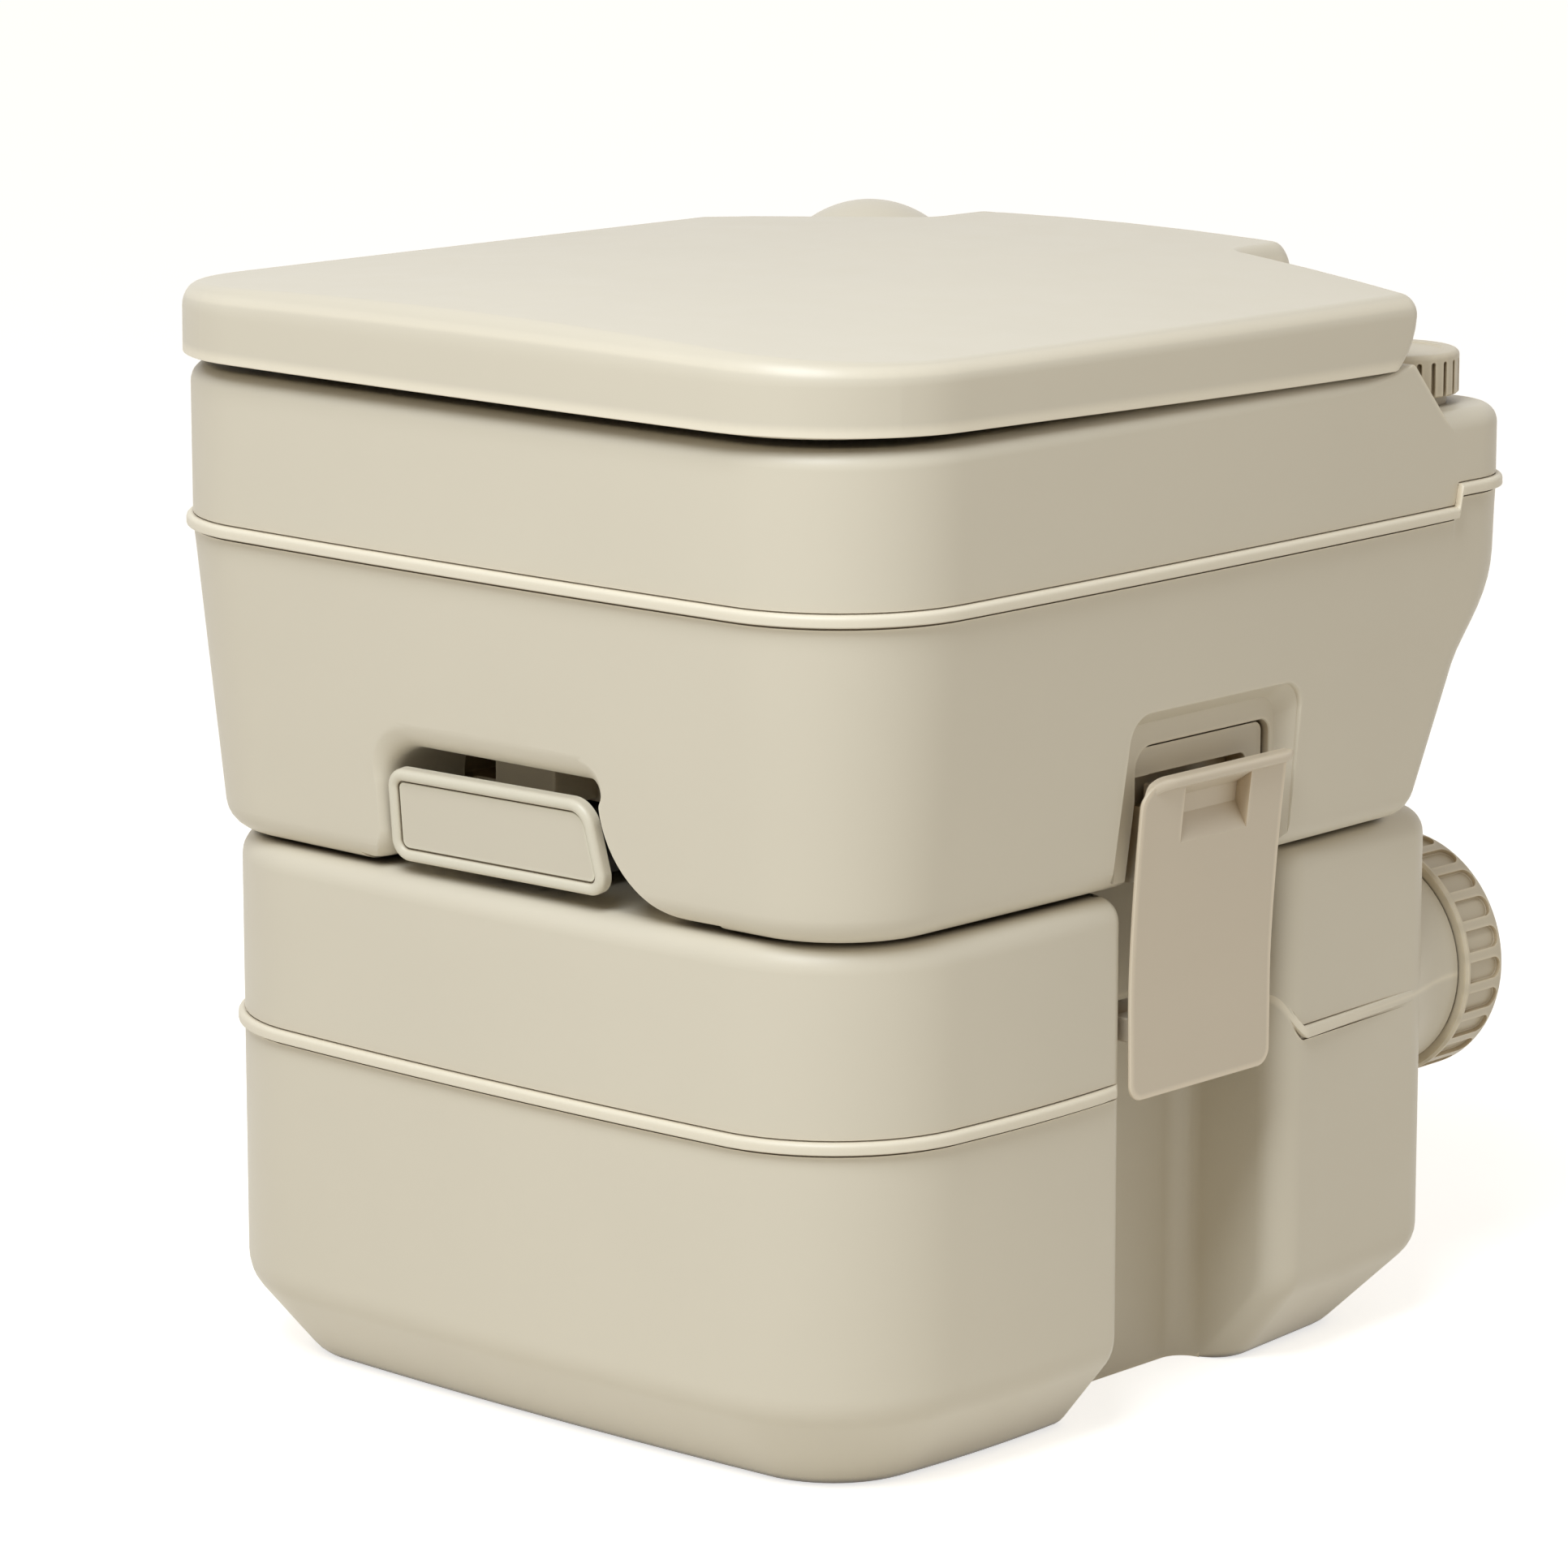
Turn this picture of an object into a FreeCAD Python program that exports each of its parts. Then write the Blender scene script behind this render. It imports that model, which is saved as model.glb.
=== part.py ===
"""Portable camping toilet: a flush unit latched on top of a waste holding tank.

Millimetres. Front is -Y, +X is the right side seen from the front, +Z is up, and the origin lies on
the floor under the middle of the tank.
"""

import FreeCAD, Part
import math
import os
from types import SimpleNamespace

import Sketcher

doc = FreeCAD.newDocument("portable_toilet")
sheet = doc.addObject("Spreadsheet::Sheet", "dim")

# Driving dimensions: half widths are from the middle, fronts and rears from the origin, the rest are steps
SIZES = {
    # Both tanks
    "wall": 3.5,
    "bead_out": 2.5,
    "bead_half": 2.3,
    "edge_round": 1.0,
    # Waste tank
    "tank_half_width": 169.0,
    "tank_front": 172.0,
    "tank_rear": 180.0,
    "tank_height": 201.0,
    "tank_seam": 130.0,
    "tank_corner": 58.0,
    "tank_shoulder": 10.0,
    "base_inset": 26.0,
    "base_rise": 32.0,
    "base_corner": 36.0,
    "waist_depth": 52.0,
    "waist_front": -22.0,
    "waist_room": 18.5,
    "waist_hollow": 10.0,
    "waist_edge": 7.0,
    "rear_step": 4.0,
    "rear_taper": 7.0,
    "rear_corner": 14.0,
    # Pour-out spout
    "neck_inset": 50.0,
    "neck_radius": 36.0,
    "neck_wall": 4.0,
    "neck_length": 39.0,
    "spout_cap_wall": 7.6,
    "spout_cap_skirt": 16.0,
    "spout_cap_end": 5.5,
    "spout_grips": 22,
    "spout_grip_radius": 4.0,
    "gasket_thickness": 2.5,
    "cap_clearance": 0.4,
    "cap_round": 2.0,
    # Flush tank
    "side_overhang": 11.0,
    "front_overhang": 9.5,
    "rear_overhang": 20.0,
    "tub_height": 117.0,
    "tub_draft": 5.6,
    "tub_round": 8.0,
    "flush_corner": 62.0,
    "flush_rear_corner": 40.0,
    "step_inset": 48.0,
    "seam_step": 10.0,
    "heel_inset": 48.0,
    "knee_inset": 22.0,
    "knee_rise": 59.0,
    "brow_rise": 32.0,
    "rear_sweep": 26.0,
    "deck_rise": 58.0,
    "deck_round": 7.0,
    "shelf_length": 81.0,
    "shelf_slope": 27.0,
    "shelf_drop": 21.0,
    "shelf_hollow": 8.0,
    # Bowl
    "bowl_side_margin": 72.0,
    "bowl_front_margin": 29.5,
    "bowl_rear_margin": 21.0,
    "bowl_waist_drop": 61.0,
    "bowl_side_slope": 22.0,
    "bowl_front_slope": 34.0,
    "bowl_rear_slope": 20.0,
    # Slide valve
    "valve_y": -15.0,
    "valve_bore": 42.0,
    "valve_floor": 3.5,
    "valve_cover_thickness": 6.0,
    "valve_headroom": 11.0,
    "valve_room": 6.0,
    "frame_side": 12.0,
    "frame_end": 10.0,
    "frame_guide": 38.0,
    "blade_thickness": 4.4,
    "blade_side": 7.0,
    "blade_clearance": 0.3,
    "blade_margin": 15.0,
    "blade_corner": 30.0,
    "stem_half_width": 24.0,
    "stem_gap": 2.0,
    "seal_gap": 1.5,
    "seal_width": 8.0,
    "seal_groove": 2.0,
    "spigot_drop": 6.0,
    "valve_gasket_thickness": 1.5,
    "valve_gasket_width": 16.0,
    "screw_radius": 2.0,
    "screw_head_radius": 4.0,
    "screw_head_height": 2.5,
    "screw_inset": 7.0,
    "screw_grip": 2.5,
    "screw_clearance": 0.05,
    # Valve handle and its recess
    "handle_half_width": 55.5,
    "handle_shift": 5.4,
    "handle_slant": 9.0,
    "handle_height": 35.0,
    "handle_thickness": 6.0,
    "handle_corner": 8.0,
    "handle_rim": 5.0,
    "handle_panel_depth": 1.2,
    "handle_inset": 17.8,
    "handle_lift": 5.0,
    "handle_tilt": 8.0,
    "boss_half_width": 20.0,
    "boss_height": 11.0,
    "boss_length": 18.0,
    "recess_side_gap": 3.4,
    "recess_tuck": 3.9,
    "recess_headroom": 16.0,
    "recess_corner": 9.5,
    "recess_flare": 36.0,
    "recess_splay": 47.0,
    "recess_left_flare": 12.0,
    "recess_left_splay": 16.0,
    "recess_depth": 55.5,
    # Side latches
    "latch_gap": 1.5,
    "latch_width": 78.0,
    "latch_tail": 26.0,
    "latch_cap": 6.0,
    "latch_set": 1.5,
    "latch_lean": 4.0,
    "latch_thickness": 4.0,
    "latch_corner": 7.0,
    "ledge_out": 3.5,
    "ledge_height": 5.0,
    "pin_depth": 15.0,
    "pin_rise": 20.0,
    "pin_radius": 2.5,
    "pin_fit": 0.03,
    "pin_end_gap": 0.3,
    "pin_socket": 8.0,
    "pin_boss": 8.0,
    "hub_radius": 7.0,
    "hub_inset": 4.0,
    "web_half": 4.0,
    "hook_rise": 29.0,
    "hook_thickness": 7.0,
    "hook_reach": 8.0,
    "hook_inset": 9.0,
    "finger_width": 40.0,
    "finger_height": 23.0,
    "finger_drop": 8.0,
    "finger_depth": 6.0,
    "finger_wall": 2.0,
    "finger_corner": 2.0,
    "catch_gap": 8.5,
    "catch_front_room": 5.5,
    "catch_rear_room": 9.5,
    "catch_headroom": 22.0,
    "catch_corner": 9.0,
    "pocket_front_room": 0.5,
    "pocket_rear_room": 3.0,
    "pocket_floor_room": 2.0,
    "pocket_rim": 5.0,
    "pocket_depth": 12.0,
    "pocket_corner": 5.0,
    # Hinge, seat and lid
    "hinge_inset": 32.0,
    "hinge_pin_radius": 3.0,
    "hinge_hub_radius": 9.0,
    "ear_inner": 28.0,
    "ear_width": 16.0,
    "arm_width": 12.5,
    "arm_half_height": 5.0,
    "hinge_gap": 0.6,
    "seat_inset": 9.0,
    "seat_rear_inset": 3.0,
    "seat_rear_corner": 22.0,
    "seat_thickness": 15.0,
    "seat_round": 5.0,
    "seat_lip": 10.0,
    "bumper_height": 3.0,
    "bumper_radius": 7.0,
    "bumper_front_inset": 60.0,
    "bumper_rear_inset": 46.0,
    "lid_lip": 5.5,
    "lid_reach": 9.0,
    "lid_corner": 60.0,
    "lid_rear_corner": 9.0,
    "lid_rear_slope": 20.0,
    "lid_gap": 1.0,
    "lid_room": 7.0,
    "lid_crown": 6.0,
    "lid_round": 7.0,
    "lid_wall": 3.0,
    "lid_tilt": 0.6,
    "lid_notch": 14.0,
    "lid_post_radius": 8.0,
    "lid_rest_gap": 0.3,
    "tongue_room": 5.2,
    "tongue_reach": 18.0,
    "tongue_corner": 12.0,
    # Fill opening
    "fill_inset": 40.0,
    "fill_tuck": 6.0,
    "fill_neck_radius": 21.5,
    "fill_neck_wall": 3.0,
    "fill_neck_height": 13.0,
    "fill_collar_out": 2.5,
    "fill_collar_height": 4.0,
    "fill_cap_wall": 4.1,
    "fill_cap_lift": 6.0,
    "fill_cap_end": 4.5,
    "fill_grips": 24,
    "fill_grip_radius": 1.8,
    # Bellows flush pump
    "knob_radius": 28.0,
    "pump_inset": 56.0,
    "knob_lid_gap": 15.5,
    "knob_dome": 42.0,
    "knob_roof": 10.0,
    "knob_skirt": 12.0,
    "pump_bore": 17.0,
    "pump_wall": 3.0,
    "pump_fit": 0.3,
    "pump_flange_out": 5.0,
    "pump_shelf_gap": 2.0,
    "pump_flange": 2.0,
    "pump_depth": 30.0,
    "collar_out": 1.5,
    "collar_height": 6.0,
    "bellows_seat": 0.3,
    "bellows_fold": 5.0,
    "bellows_wall": 1.5,
    "bellows_folds": 4,
    "bellows_pitch": 9.0,
    "check_thickness": 2.5,
    "tube_radius": 5.0,
    "tube_wall": 1.5,
    "tube_clear": 12.0,
    "outlet_length": 10.0,
    "hose_drop": 12.0,
    "hose_bend": 24.0,
    "nozzle_radius": 7.0,
    "nozzle_bore": 3.5,
    "nozzle_reach": 6.0,
    "nozzle_back": 24.0,
}

for row, (alias, number) in enumerate(SIZES.items(), start=1):
    sheet.set(f"A{row}", alias)
    sheet.set(f"B{row}", str(number))
    sheet.setAlias(f"B{row}", alias)
doc.recompute()


# A size carries its number and the expression that ties a feature to the sheet
class Size:
    def __init__(self, value, text):
        self.value = value
        self.text = text

    def __add__(self, other):
        other = as_size(other)
        return Size(self.value + other.value, f"({self.text} + {other.text})")

    def __sub__(self, other):
        other = as_size(other)
        return Size(self.value - other.value, f"({self.text} - {other.text})")

    def __mul__(self, other):
        other = as_size(other)
        return Size(self.value * other.value, f"({self.text} * {other.text})")

    def __truediv__(self, other):
        other = as_size(other)
        return Size(self.value / other.value, f"({self.text} / {other.text})")

    def __neg__(self):
        return Size(-self.value, f"(0 - {self.text})")


def as_size(number):
    return number if isinstance(number, Size) else Size(float(number), str(float(number)))


def tangent(angle):
    return Size(math.tan(math.radians(angle.value)), f"tan({angle.text} * 1 deg)")


def root(number):
    return Size(math.sqrt(number.value), f"sqrt({number.text})")


def least(*numbers):
    texts = "; ".join(number.text for number in numbers)
    return Size(min(number.value for number in numbers), f"min({texts})")


def most(*numbers):
    texts = "; ".join(number.text for number in numbers)
    return Size(max(number.value for number in numbers), f"max({texts})")


D = SimpleNamespace(**{alias: Size(float(sheet.get(alias)), f"dim.{alias}") for alias in SIZES})
ZERO = as_size(0)
OVERCUT = as_size(1)
TOUCH = 0.01
nodes = {}


# Places that follow from the driving dimensions
D.rear_half_width = D.tank_half_width - D.rear_step
D.rear_end_half_width = D.rear_half_width - D.rear_taper
D.waist_half_width = D.tank_half_width - D.waist_depth
D.latch_front = D.waist_front + D.latch_gap
D.latch_rear = D.latch_front + D.latch_width
D.waist_rear = D.latch_rear + D.waist_room
D.neck_x = D.rear_end_half_width - D.neck_inset
D.neck_end = D.tank_rear + D.neck_length
D.neck_bore = D.neck_radius - D.neck_wall
D.spout_cap_radius = D.neck_radius + D.cap_clearance + D.spout_cap_wall

D.flush_half_width = D.tank_half_width + D.side_overhang
D.flush_front = D.tank_front + D.front_overhang
D.flush_rear = D.tank_rear + D.rear_overhang
D.flush_seam = D.tank_height + D.tub_height
D.seam_step_y = D.flush_rear - D.step_inset
D.heel_rear = D.flush_rear - D.heel_inset
D.knee_rear = D.flush_rear - D.knee_inset
D.knee_height = D.tank_height + D.knee_rise
D.brow_height = D.knee_height + D.brow_rise
D.deck_height = D.flush_seam + D.deck_rise
D.deck_end = D.flush_rear - D.shelf_length
D.shelf_start = D.deck_end + D.shelf_slope
D.shelf_height = D.deck_height - D.shelf_drop

D.bowl_half_width = D.flush_half_width - D.bowl_side_margin
D.bowl_front = D.flush_front - D.bowl_front_margin
D.bowl_rear = D.deck_end - D.bowl_rear_margin
D.bowl_waist_half_width = D.bowl_half_width - D.bowl_side_slope
D.bowl_waist_front = D.bowl_front - D.bowl_front_slope
D.bowl_waist_rear = D.bowl_rear - D.bowl_rear_slope
D.bowl_waist_height = D.deck_height - D.bowl_waist_drop

D.blade_half_width = D.valve_bore + D.blade_side
D.blade_rear = D.valve_y + D.valve_bore + D.blade_margin
D.valve_half_width = D.blade_half_width + D.frame_side
D.valve_front = D.valve_bore - D.valve_y + D.frame_guide
D.valve_rear = D.blade_rear + D.frame_end
D.handle_back = D.flush_front - D.handle_inset
D.recess_left = D.handle_half_width - D.handle_shift + D.recess_side_gap
D.recess_right = D.handle_half_width + D.handle_shift - D.recess_tuck
D.recess_top = D.tank_height + D.handle_lift + D.handle_height + D.recess_headroom
D.recess_mouth = D.recess_right + D.recess_splay
D.recess_left_mouth = D.recess_left + D.recess_left_splay
D.recess_back = D.flush_front - D.recess_depth

D.pin_x = D.tank_half_width - D.pin_depth
D.pin_z = D.tank_seam + D.pin_rise
D.latch_bottom = D.pin_z - D.latch_tail
D.latch_head_x = D.flush_half_width - D.latch_set
D.latch_foot_x = D.latch_head_x - D.latch_lean
D.hook_bottom = D.tank_height + D.hook_rise
D.hook_top = D.hook_bottom + D.hook_thickness
D.latch_top = D.hook_top + D.latch_cap
D.finger_top = D.latch_top - D.finger_drop
D.finger_bottom = D.finger_top - D.finger_height
D.catch_floor_x = D.latch_head_x - D.latch_thickness - D.catch_gap
D.hook_tip_x = D.catch_floor_x - D.hook_reach
D.catch_front = D.latch_front - D.catch_front_room
D.catch_rear = D.latch_rear + D.catch_rear_room
D.catch_top = D.latch_top + D.catch_headroom
D.pocket_front = D.latch_front - D.pocket_front_room
D.pocket_rear = D.latch_rear - D.hook_inset + D.pocket_rear_room
D.pocket_bottom = D.hook_bottom - D.pocket_floor_room
D.pocket_top = D.catch_top - D.pocket_rim

D.hinge_y = D.flush_rear - D.hinge_inset
D.seat_bottom = D.deck_height + D.bumper_height
D.seat_top = D.seat_bottom + D.seat_thickness
D.hinge_z = D.seat_bottom + D.seat_thickness / 2
D.arm_x = D.ear_inner + D.ear_width + D.hinge_gap
D.lug_x = D.arm_x + D.arm_width + D.hinge_gap
D.lug_end = D.lug_x + D.arm_width
D.tongue_half_width = D.lug_end + D.hinge_gap + D.lid_wall + D.tongue_room
D.tongue_rear = D.hinge_y + D.tongue_reach
D.lid_half_width = D.flush_half_width
D.lid_front = D.flush_front + D.lid_lip
D.lid_rear = D.deck_end + D.lid_reach
D.lid_bottom = D.deck_height + D.lid_gap
D.lid_edge_height = D.seat_top + D.lid_room
D.seat_half_width = D.lid_half_width - D.seat_inset
D.seat_front = D.lid_front - D.seat_inset
D.seat_rear = D.deck_end - D.seat_rear_inset
D.seat_corner = D.lid_corner - D.seat_inset
D.seat_hole_half_width = D.bowl_half_width - D.seat_lip
D.seat_hole_front = D.bowl_front - D.seat_lip
D.seat_hole_rear = D.bowl_rear - D.seat_lip
D.bumper_x = (D.seat_half_width + D.seat_hole_half_width) / 2
D.bumper_front = D.seat_front - D.bumper_front_inset
D.bumper_rear = D.seat_rear - D.bumper_rear_inset

D.fill_cap_radius = D.fill_neck_radius + D.cap_clearance + D.fill_cap_wall
D.fill_collar_radius = D.fill_neck_radius + D.fill_collar_out
D.fill_bore = D.fill_neck_radius - D.fill_neck_wall
D.fill_x = D.flush_half_width - D.fill_inset
D.fill_y = D.shelf_start + D.fill_cap_radius - D.fill_tuck
D.fill_cap_skirt = D.fill_neck_height - D.fill_cap_lift
D.fill_neck_top = D.shelf_height + D.fill_neck_height

D.pump_x = -(D.flush_half_width - D.pump_inset)
D.pump_flange_radius = D.pump_bore + D.pump_flange_out
D.collar_radius = D.pump_flange_radius + D.collar_out
behind_lid = D.lid_rear + D.knob_lid_gap + D.knob_radius
behind_slope = D.shelf_start + D.pump_shelf_gap + D.collar_radius
D.pump_y = most(behind_lid, behind_slope)
D.pump_radius = D.pump_bore - D.pump_fit
D.pump_inner = D.pump_radius - D.pump_wall
D.bellows_waist = D.pump_inner + D.bellows_seat
D.bellows_radius = D.bellows_waist + D.bellows_fold
D.collar_top = D.pump_flange + D.collar_height
D.bellows_top = D.collar_top + D.bellows_pitch * D.bellows_folds
D.knob_height = D.bellows_top + D.knob_roof
D.hose_height = D.shelf_height - D.hose_drop
D.tube_bottom = D.knee_height + D.tube_clear
D.nozzle_tail = D.bowl_rear + D.nozzle_back


# Sketches
def new_sketch(body, plane, offset=ZERO):
    sketch = body.newObject("Sketcher::SketchObject", "outline")
    support = next(f for f in body.Origin.OriginFeatures if f.Role == plane)
    sketch.AttachmentSupport = [(support, "")]
    sketch.MapMode = "FlatFace"
    sketch.setExpression("AttachmentOffset.Base.z", offset.text)
    return sketch


def bind(sketch, constraint, number):
    index = sketch.addConstraint(constraint)
    sketch.setExpression(f"Constraints[{index}]", number.text)


def place_point(sketch, geometry, end, x, y):
    bind(sketch, Sketcher.Constraint("DistanceX", -1, 1, geometry, end, x.value), x)
    bind(sketch, Sketcher.Constraint("DistanceY", -1, 1, geometry, end, y.value), y)


def near_end(sketch, geometry, point):
    """Which end of an arc, 1 or 2, lies at a point."""
    gaps = [(sketch.getPoint(geometry, end) - point).Length for end in (1, 2)]
    return 1 if gaps[0] < gaps[1] else 2


def draw_outline(sketch, corners):
    """Closed outline of straight sides; a corner is x, y and its radius, or None where it is sharp."""
    count = len(corners)
    points = [FreeCAD.Vector(x.value, y.value, 0) for x, y, _ in corners]
    starts, ends, middles = [], [], []
    for i, (_, _, radius) in enumerate(corners):
        back = (points[i - 1] - points[i]).normalize()
        ahead = (points[(i + 1) % count] - points[i]).normalize()
        if radius is None:
            starts.append(points[i])
            ends.append(points[i])
            middles.append(None)
            continue
        half_angle = back.getAngle(ahead) / 2
        reach = radius.value / math.tan(half_angle)
        inward = (back + ahead).normalize()
        ends.append(points[i] + back * reach)
        starts.append(points[i] + ahead * reach)
        middles.append(points[i] + inward * (radius.value / math.sin(half_angle) - radius.value))
    lines = [
        sketch.addGeometry(Part.LineSegment(starts[i], ends[(i + 1) % count])) for i in range(count)
    ]
    for i, (x, y, radius) in enumerate(corners):
        before, after = lines[i - 1], lines[i]
        if radius is None:
            sketch.addConstraint(Sketcher.Constraint("Coincident", before, 2, after, 1))
            place_point(sketch, after, 1, x, y)
            continue
        arc = sketch.addGeometry(Part.Arc(ends[i], middles[i], starts[i]))
        first = near_end(sketch, arc, ends[i])
        sketch.addConstraint(Sketcher.Constraint("Tangent", before, 2, arc, first))
        sketch.addConstraint(Sketcher.Constraint("Tangent", arc, 3 - first, after, 1))
        bind(sketch, Sketcher.Constraint("Radius", arc, radius.value), radius)
        vertex = sketch.addGeometry(Part.Point(points[i]), True)
        sketch.addConstraint(Sketcher.Constraint("PointOnObject", vertex, 1, before))
        sketch.addConstraint(Sketcher.Constraint("PointOnObject", vertex, 1, after))
        place_point(sketch, vertex, 1, x, y)
    return sketch


def draw_circle(sketch, x, y, radius):
    centre = FreeCAD.Vector(x.value, y.value, 0)
    circle = sketch.addGeometry(Part.Circle(centre, FreeCAD.Vector(0, 0, 1), radius.value))
    bind(sketch, Sketcher.Constraint("Radius", circle, radius.value), radius)
    place_point(sketch, circle, 3, x, y)
    return sketch


def box_corners(low_x, high_x, low_y, high_y, radius=None):
    places = [(low_x, low_y), (high_x, low_y), (high_x, high_y), (low_x, high_y)]
    return [(x, y, radius) for x, y in places]


def mirrored(right):
    """A corner list down the right side, closed by its mirror image down the left."""
    return right + [(-x, y, radius) for x, y, radius in reversed(right)]


# Features
def new_body(name):
    return doc.addObject("PartDesign::Body", name)


def move(body, x=ZERO, y=ZERO, z=ZERO):
    for axis, number in (("x", x), ("y", y), ("z", z)):
        body.setExpression(f"Placement.Base.{axis}", number.text)


def pad(body, sketch, length, back=False, draft=None):
    """Extrude along the sketch's normal, or against it when back is true."""
    feature = body.newObject("PartDesign::Pad", "pad")
    feature.Profile = sketch
    feature.setExpression("Length", length.text)
    feature.Reversed = back
    if draft is not None:
        feature.setExpression("TaperAngle", draft.text)
    return feature


def cut(body, sketch, length, along=False):
    """Remove against the sketch's normal, or along it when along is true."""
    feature = body.newObject("PartDesign::Pocket", "pocket")
    feature.Profile = sketch
    feature.setExpression("Length", length.text)
    feature.Reversed = along
    return feature


def loft(body, sections, kind="PartDesign::AdditiveLoft"):
    feature = body.newObject(kind, "loft")
    feature.Profile = sections[0]
    feature.Sections = [(section, [""]) for section in sections[1:]]
    feature.Ruled = True
    return feature


def revolve(body, corners):
    """Turn a profile of radius and height corners about the body's own Z axis."""
    sketch = draw_outline(new_sketch(body, "XZ_Plane"), corners)
    feature = body.newObject("PartDesign::Revolution", "turned")
    feature.Profile = sketch
    feature.ReferenceAxis = (sketch, ["V_Axis"])
    feature.Angle = 360
    return feature


def fillet(body, radius, pick):
    """Round the edges of the body's last feature that pick chooses."""
    doc.recompute()
    base = body.Tip
    names = [f"Edge{i}" for i, edge in enumerate(base.Shape.Edges, start=1) if pick(edge)]
    feature = body.newObject("PartDesign::Fillet", "rounding")
    feature.Base = (base, names)
    feature.setExpression("Radius", radius.text)
    return feature


def polar(body, feature, count):
    pattern = body.newObject("PartDesign::PolarPattern", "pattern")
    pattern.Originals = [feature]
    pattern.Axis = (next(f for f in body.Origin.OriginFeatures if f.Role == "Z_Axis"), [""])
    pattern.Angle = 360
    pattern.setExpression("Occurrences", count.text)
    body.Tip = pattern
    return pattern


def combine(kind, name, base, tool):
    feature = doc.addObject(f"Part::{kind}", name)
    feature.Base = base
    feature.Tool = tool
    return feature


def keep(name, feature):
    feature.Label = name
    nodes[name] = feature
    return feature


def level(edge, height):
    """True for an edge that lies flat at a height."""
    box = edge.BoundBox
    return abs(box.ZMin - height) < TOUCH and abs(box.ZMax - height) < TOUCH


# Waste tank
def tank_outline(sketch, grow, skirt, corner, waist_grow):
    """Plan of the tank: front block, a waist each side for the latch, and a tapered rear block."""
    half = D.tank_half_width + grow - skirt
    wide = D.rear_half_width + grow - skirt
    narrow = D.rear_end_half_width + grow - skirt
    waist = D.waist_half_width + waist_grow
    waist_front = D.waist_front + waist_grow
    waist_rear = D.waist_rear - waist_grow
    hollow = D.waist_hollow - waist_grow
    edge = D.waist_edge + waist_grow
    return draw_outline(sketch, mirrored([
        (half, -(D.tank_front + grow - skirt), corner + grow),
        (half, waist_front, edge),
        (waist, waist_front, hollow),
        (waist, waist_rear, hollow),
        (wide, waist_rear, edge),
        (narrow, D.tank_rear + grow - skirt, D.rear_corner + grow),
    ]))


def tank_section(body, height, grow, skirt=ZERO, corner=D.tank_corner):
    return tank_outline(new_sketch(body, "XY_Plane", height), grow, skirt, corner, grow)


def seam_bead(body):
    """Outline of the bead round the tank's seam, which fades out in the waists."""
    return tank_outline(new_sketch(body, "XY_Plane", D.tank_seam), D.bead_out, ZERO, D.tank_corner, ZERO)


def half_neck(body, away_is_up):
    """Pour-out neck on the rear wall, split through its axis at the tank's seam."""
    root_y = D.tank_rear - D.wall
    pad(body, draw_circle(new_sketch(body, "XZ_Plane", -D.neck_end), D.neck_x, D.tank_seam, D.neck_radius),
        D.neck_end - root_y)
    trim = new_sketch(body, "XY_Plane", D.tank_seam)
    reach = D.neck_end + D.tank_front
    draw_outline(trim, box_corners(-reach, reach, -reach, reach))
    cut(body, trim, D.tank_height, along=away_is_up)
    mouth_y = D.neck_end + OVERCUT
    bore = draw_circle(new_sketch(body, "XZ_Plane", -mouth_y), D.neck_x, D.tank_seam, D.neck_bore)
    cut(body, bore, mouth_y - root_y + OVERCUT, along=True)


outer = new_body("tank_base_form")
loft(outer, [
    tank_section(outer, ZERO, ZERO, D.base_inset, D.base_corner),
    tank_section(outer, D.base_rise, ZERO),
])
pad(outer, tank_section(outer, D.base_rise, ZERO), D.tank_seam - D.base_rise)
pad(outer, seam_bead(outer), D.bead_half, back=True)
half_neck(outer, away_is_up=True)

cavity = new_body("tank_base_hollow")
loft(cavity, [
    tank_section(cavity, D.wall, -D.wall, D.base_inset, D.base_corner),
    tank_section(cavity, D.base_rise, -D.wall),
])
pad(cavity, tank_section(cavity, D.base_rise, -D.wall), D.tank_seam - D.base_rise + OVERCUT)
keep("waste_tank_base", combine("Cut", "waste_tank_base", outer, cavity))

outer = waste_top_form = new_body("tank_top_form")
pad(outer, tank_section(outer, D.tank_seam, ZERO), D.tank_height - D.tank_seam)
fillet(outer, D.tank_shoulder, lambda edge: level(edge, D.tank_height.value))
pad(outer, seam_bead(outer), D.bead_half)
half_neck(outer, away_is_up=False)
outlet = draw_circle(new_sketch(outer, "XY_Plane", D.tank_height), ZERO, D.valve_y, D.valve_bore)
cut(outer, outlet, D.wall * 2)

cavity = new_body("tank_top_hollow")
tank_roof = D.tank_height - D.wall
pad(cavity, tank_section(cavity, D.tank_seam - OVERCUT, -D.wall), tank_roof - D.tank_seam + OVERCUT)
fillet(cavity, D.tank_shoulder - D.wall, lambda edge: level(edge, tank_roof.value))

# Sockets for the latch pins, with bosses inside the tank behind them
for side in (-1, 1):
    pin_x = D.pin_x * side
    for wall_y, backward in ((D.waist_front, True), (D.waist_rear, False)):
        mouth = draw_circle(new_sketch(outer, "XZ_Plane", -wall_y), pin_x, D.pin_z, D.pin_radius + D.pin_fit)
        cut(outer, mouth, D.pin_socket, along=backward)
        boss = draw_circle(new_sketch(cavity, "XZ_Plane", -wall_y), pin_x, D.pin_z, D.pin_boss)
        cut(cavity, boss, D.pin_socket + D.wall, along=backward)
keep("waste_tank_top", combine("Cut", "waste_tank_top", outer, cavity))


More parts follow.
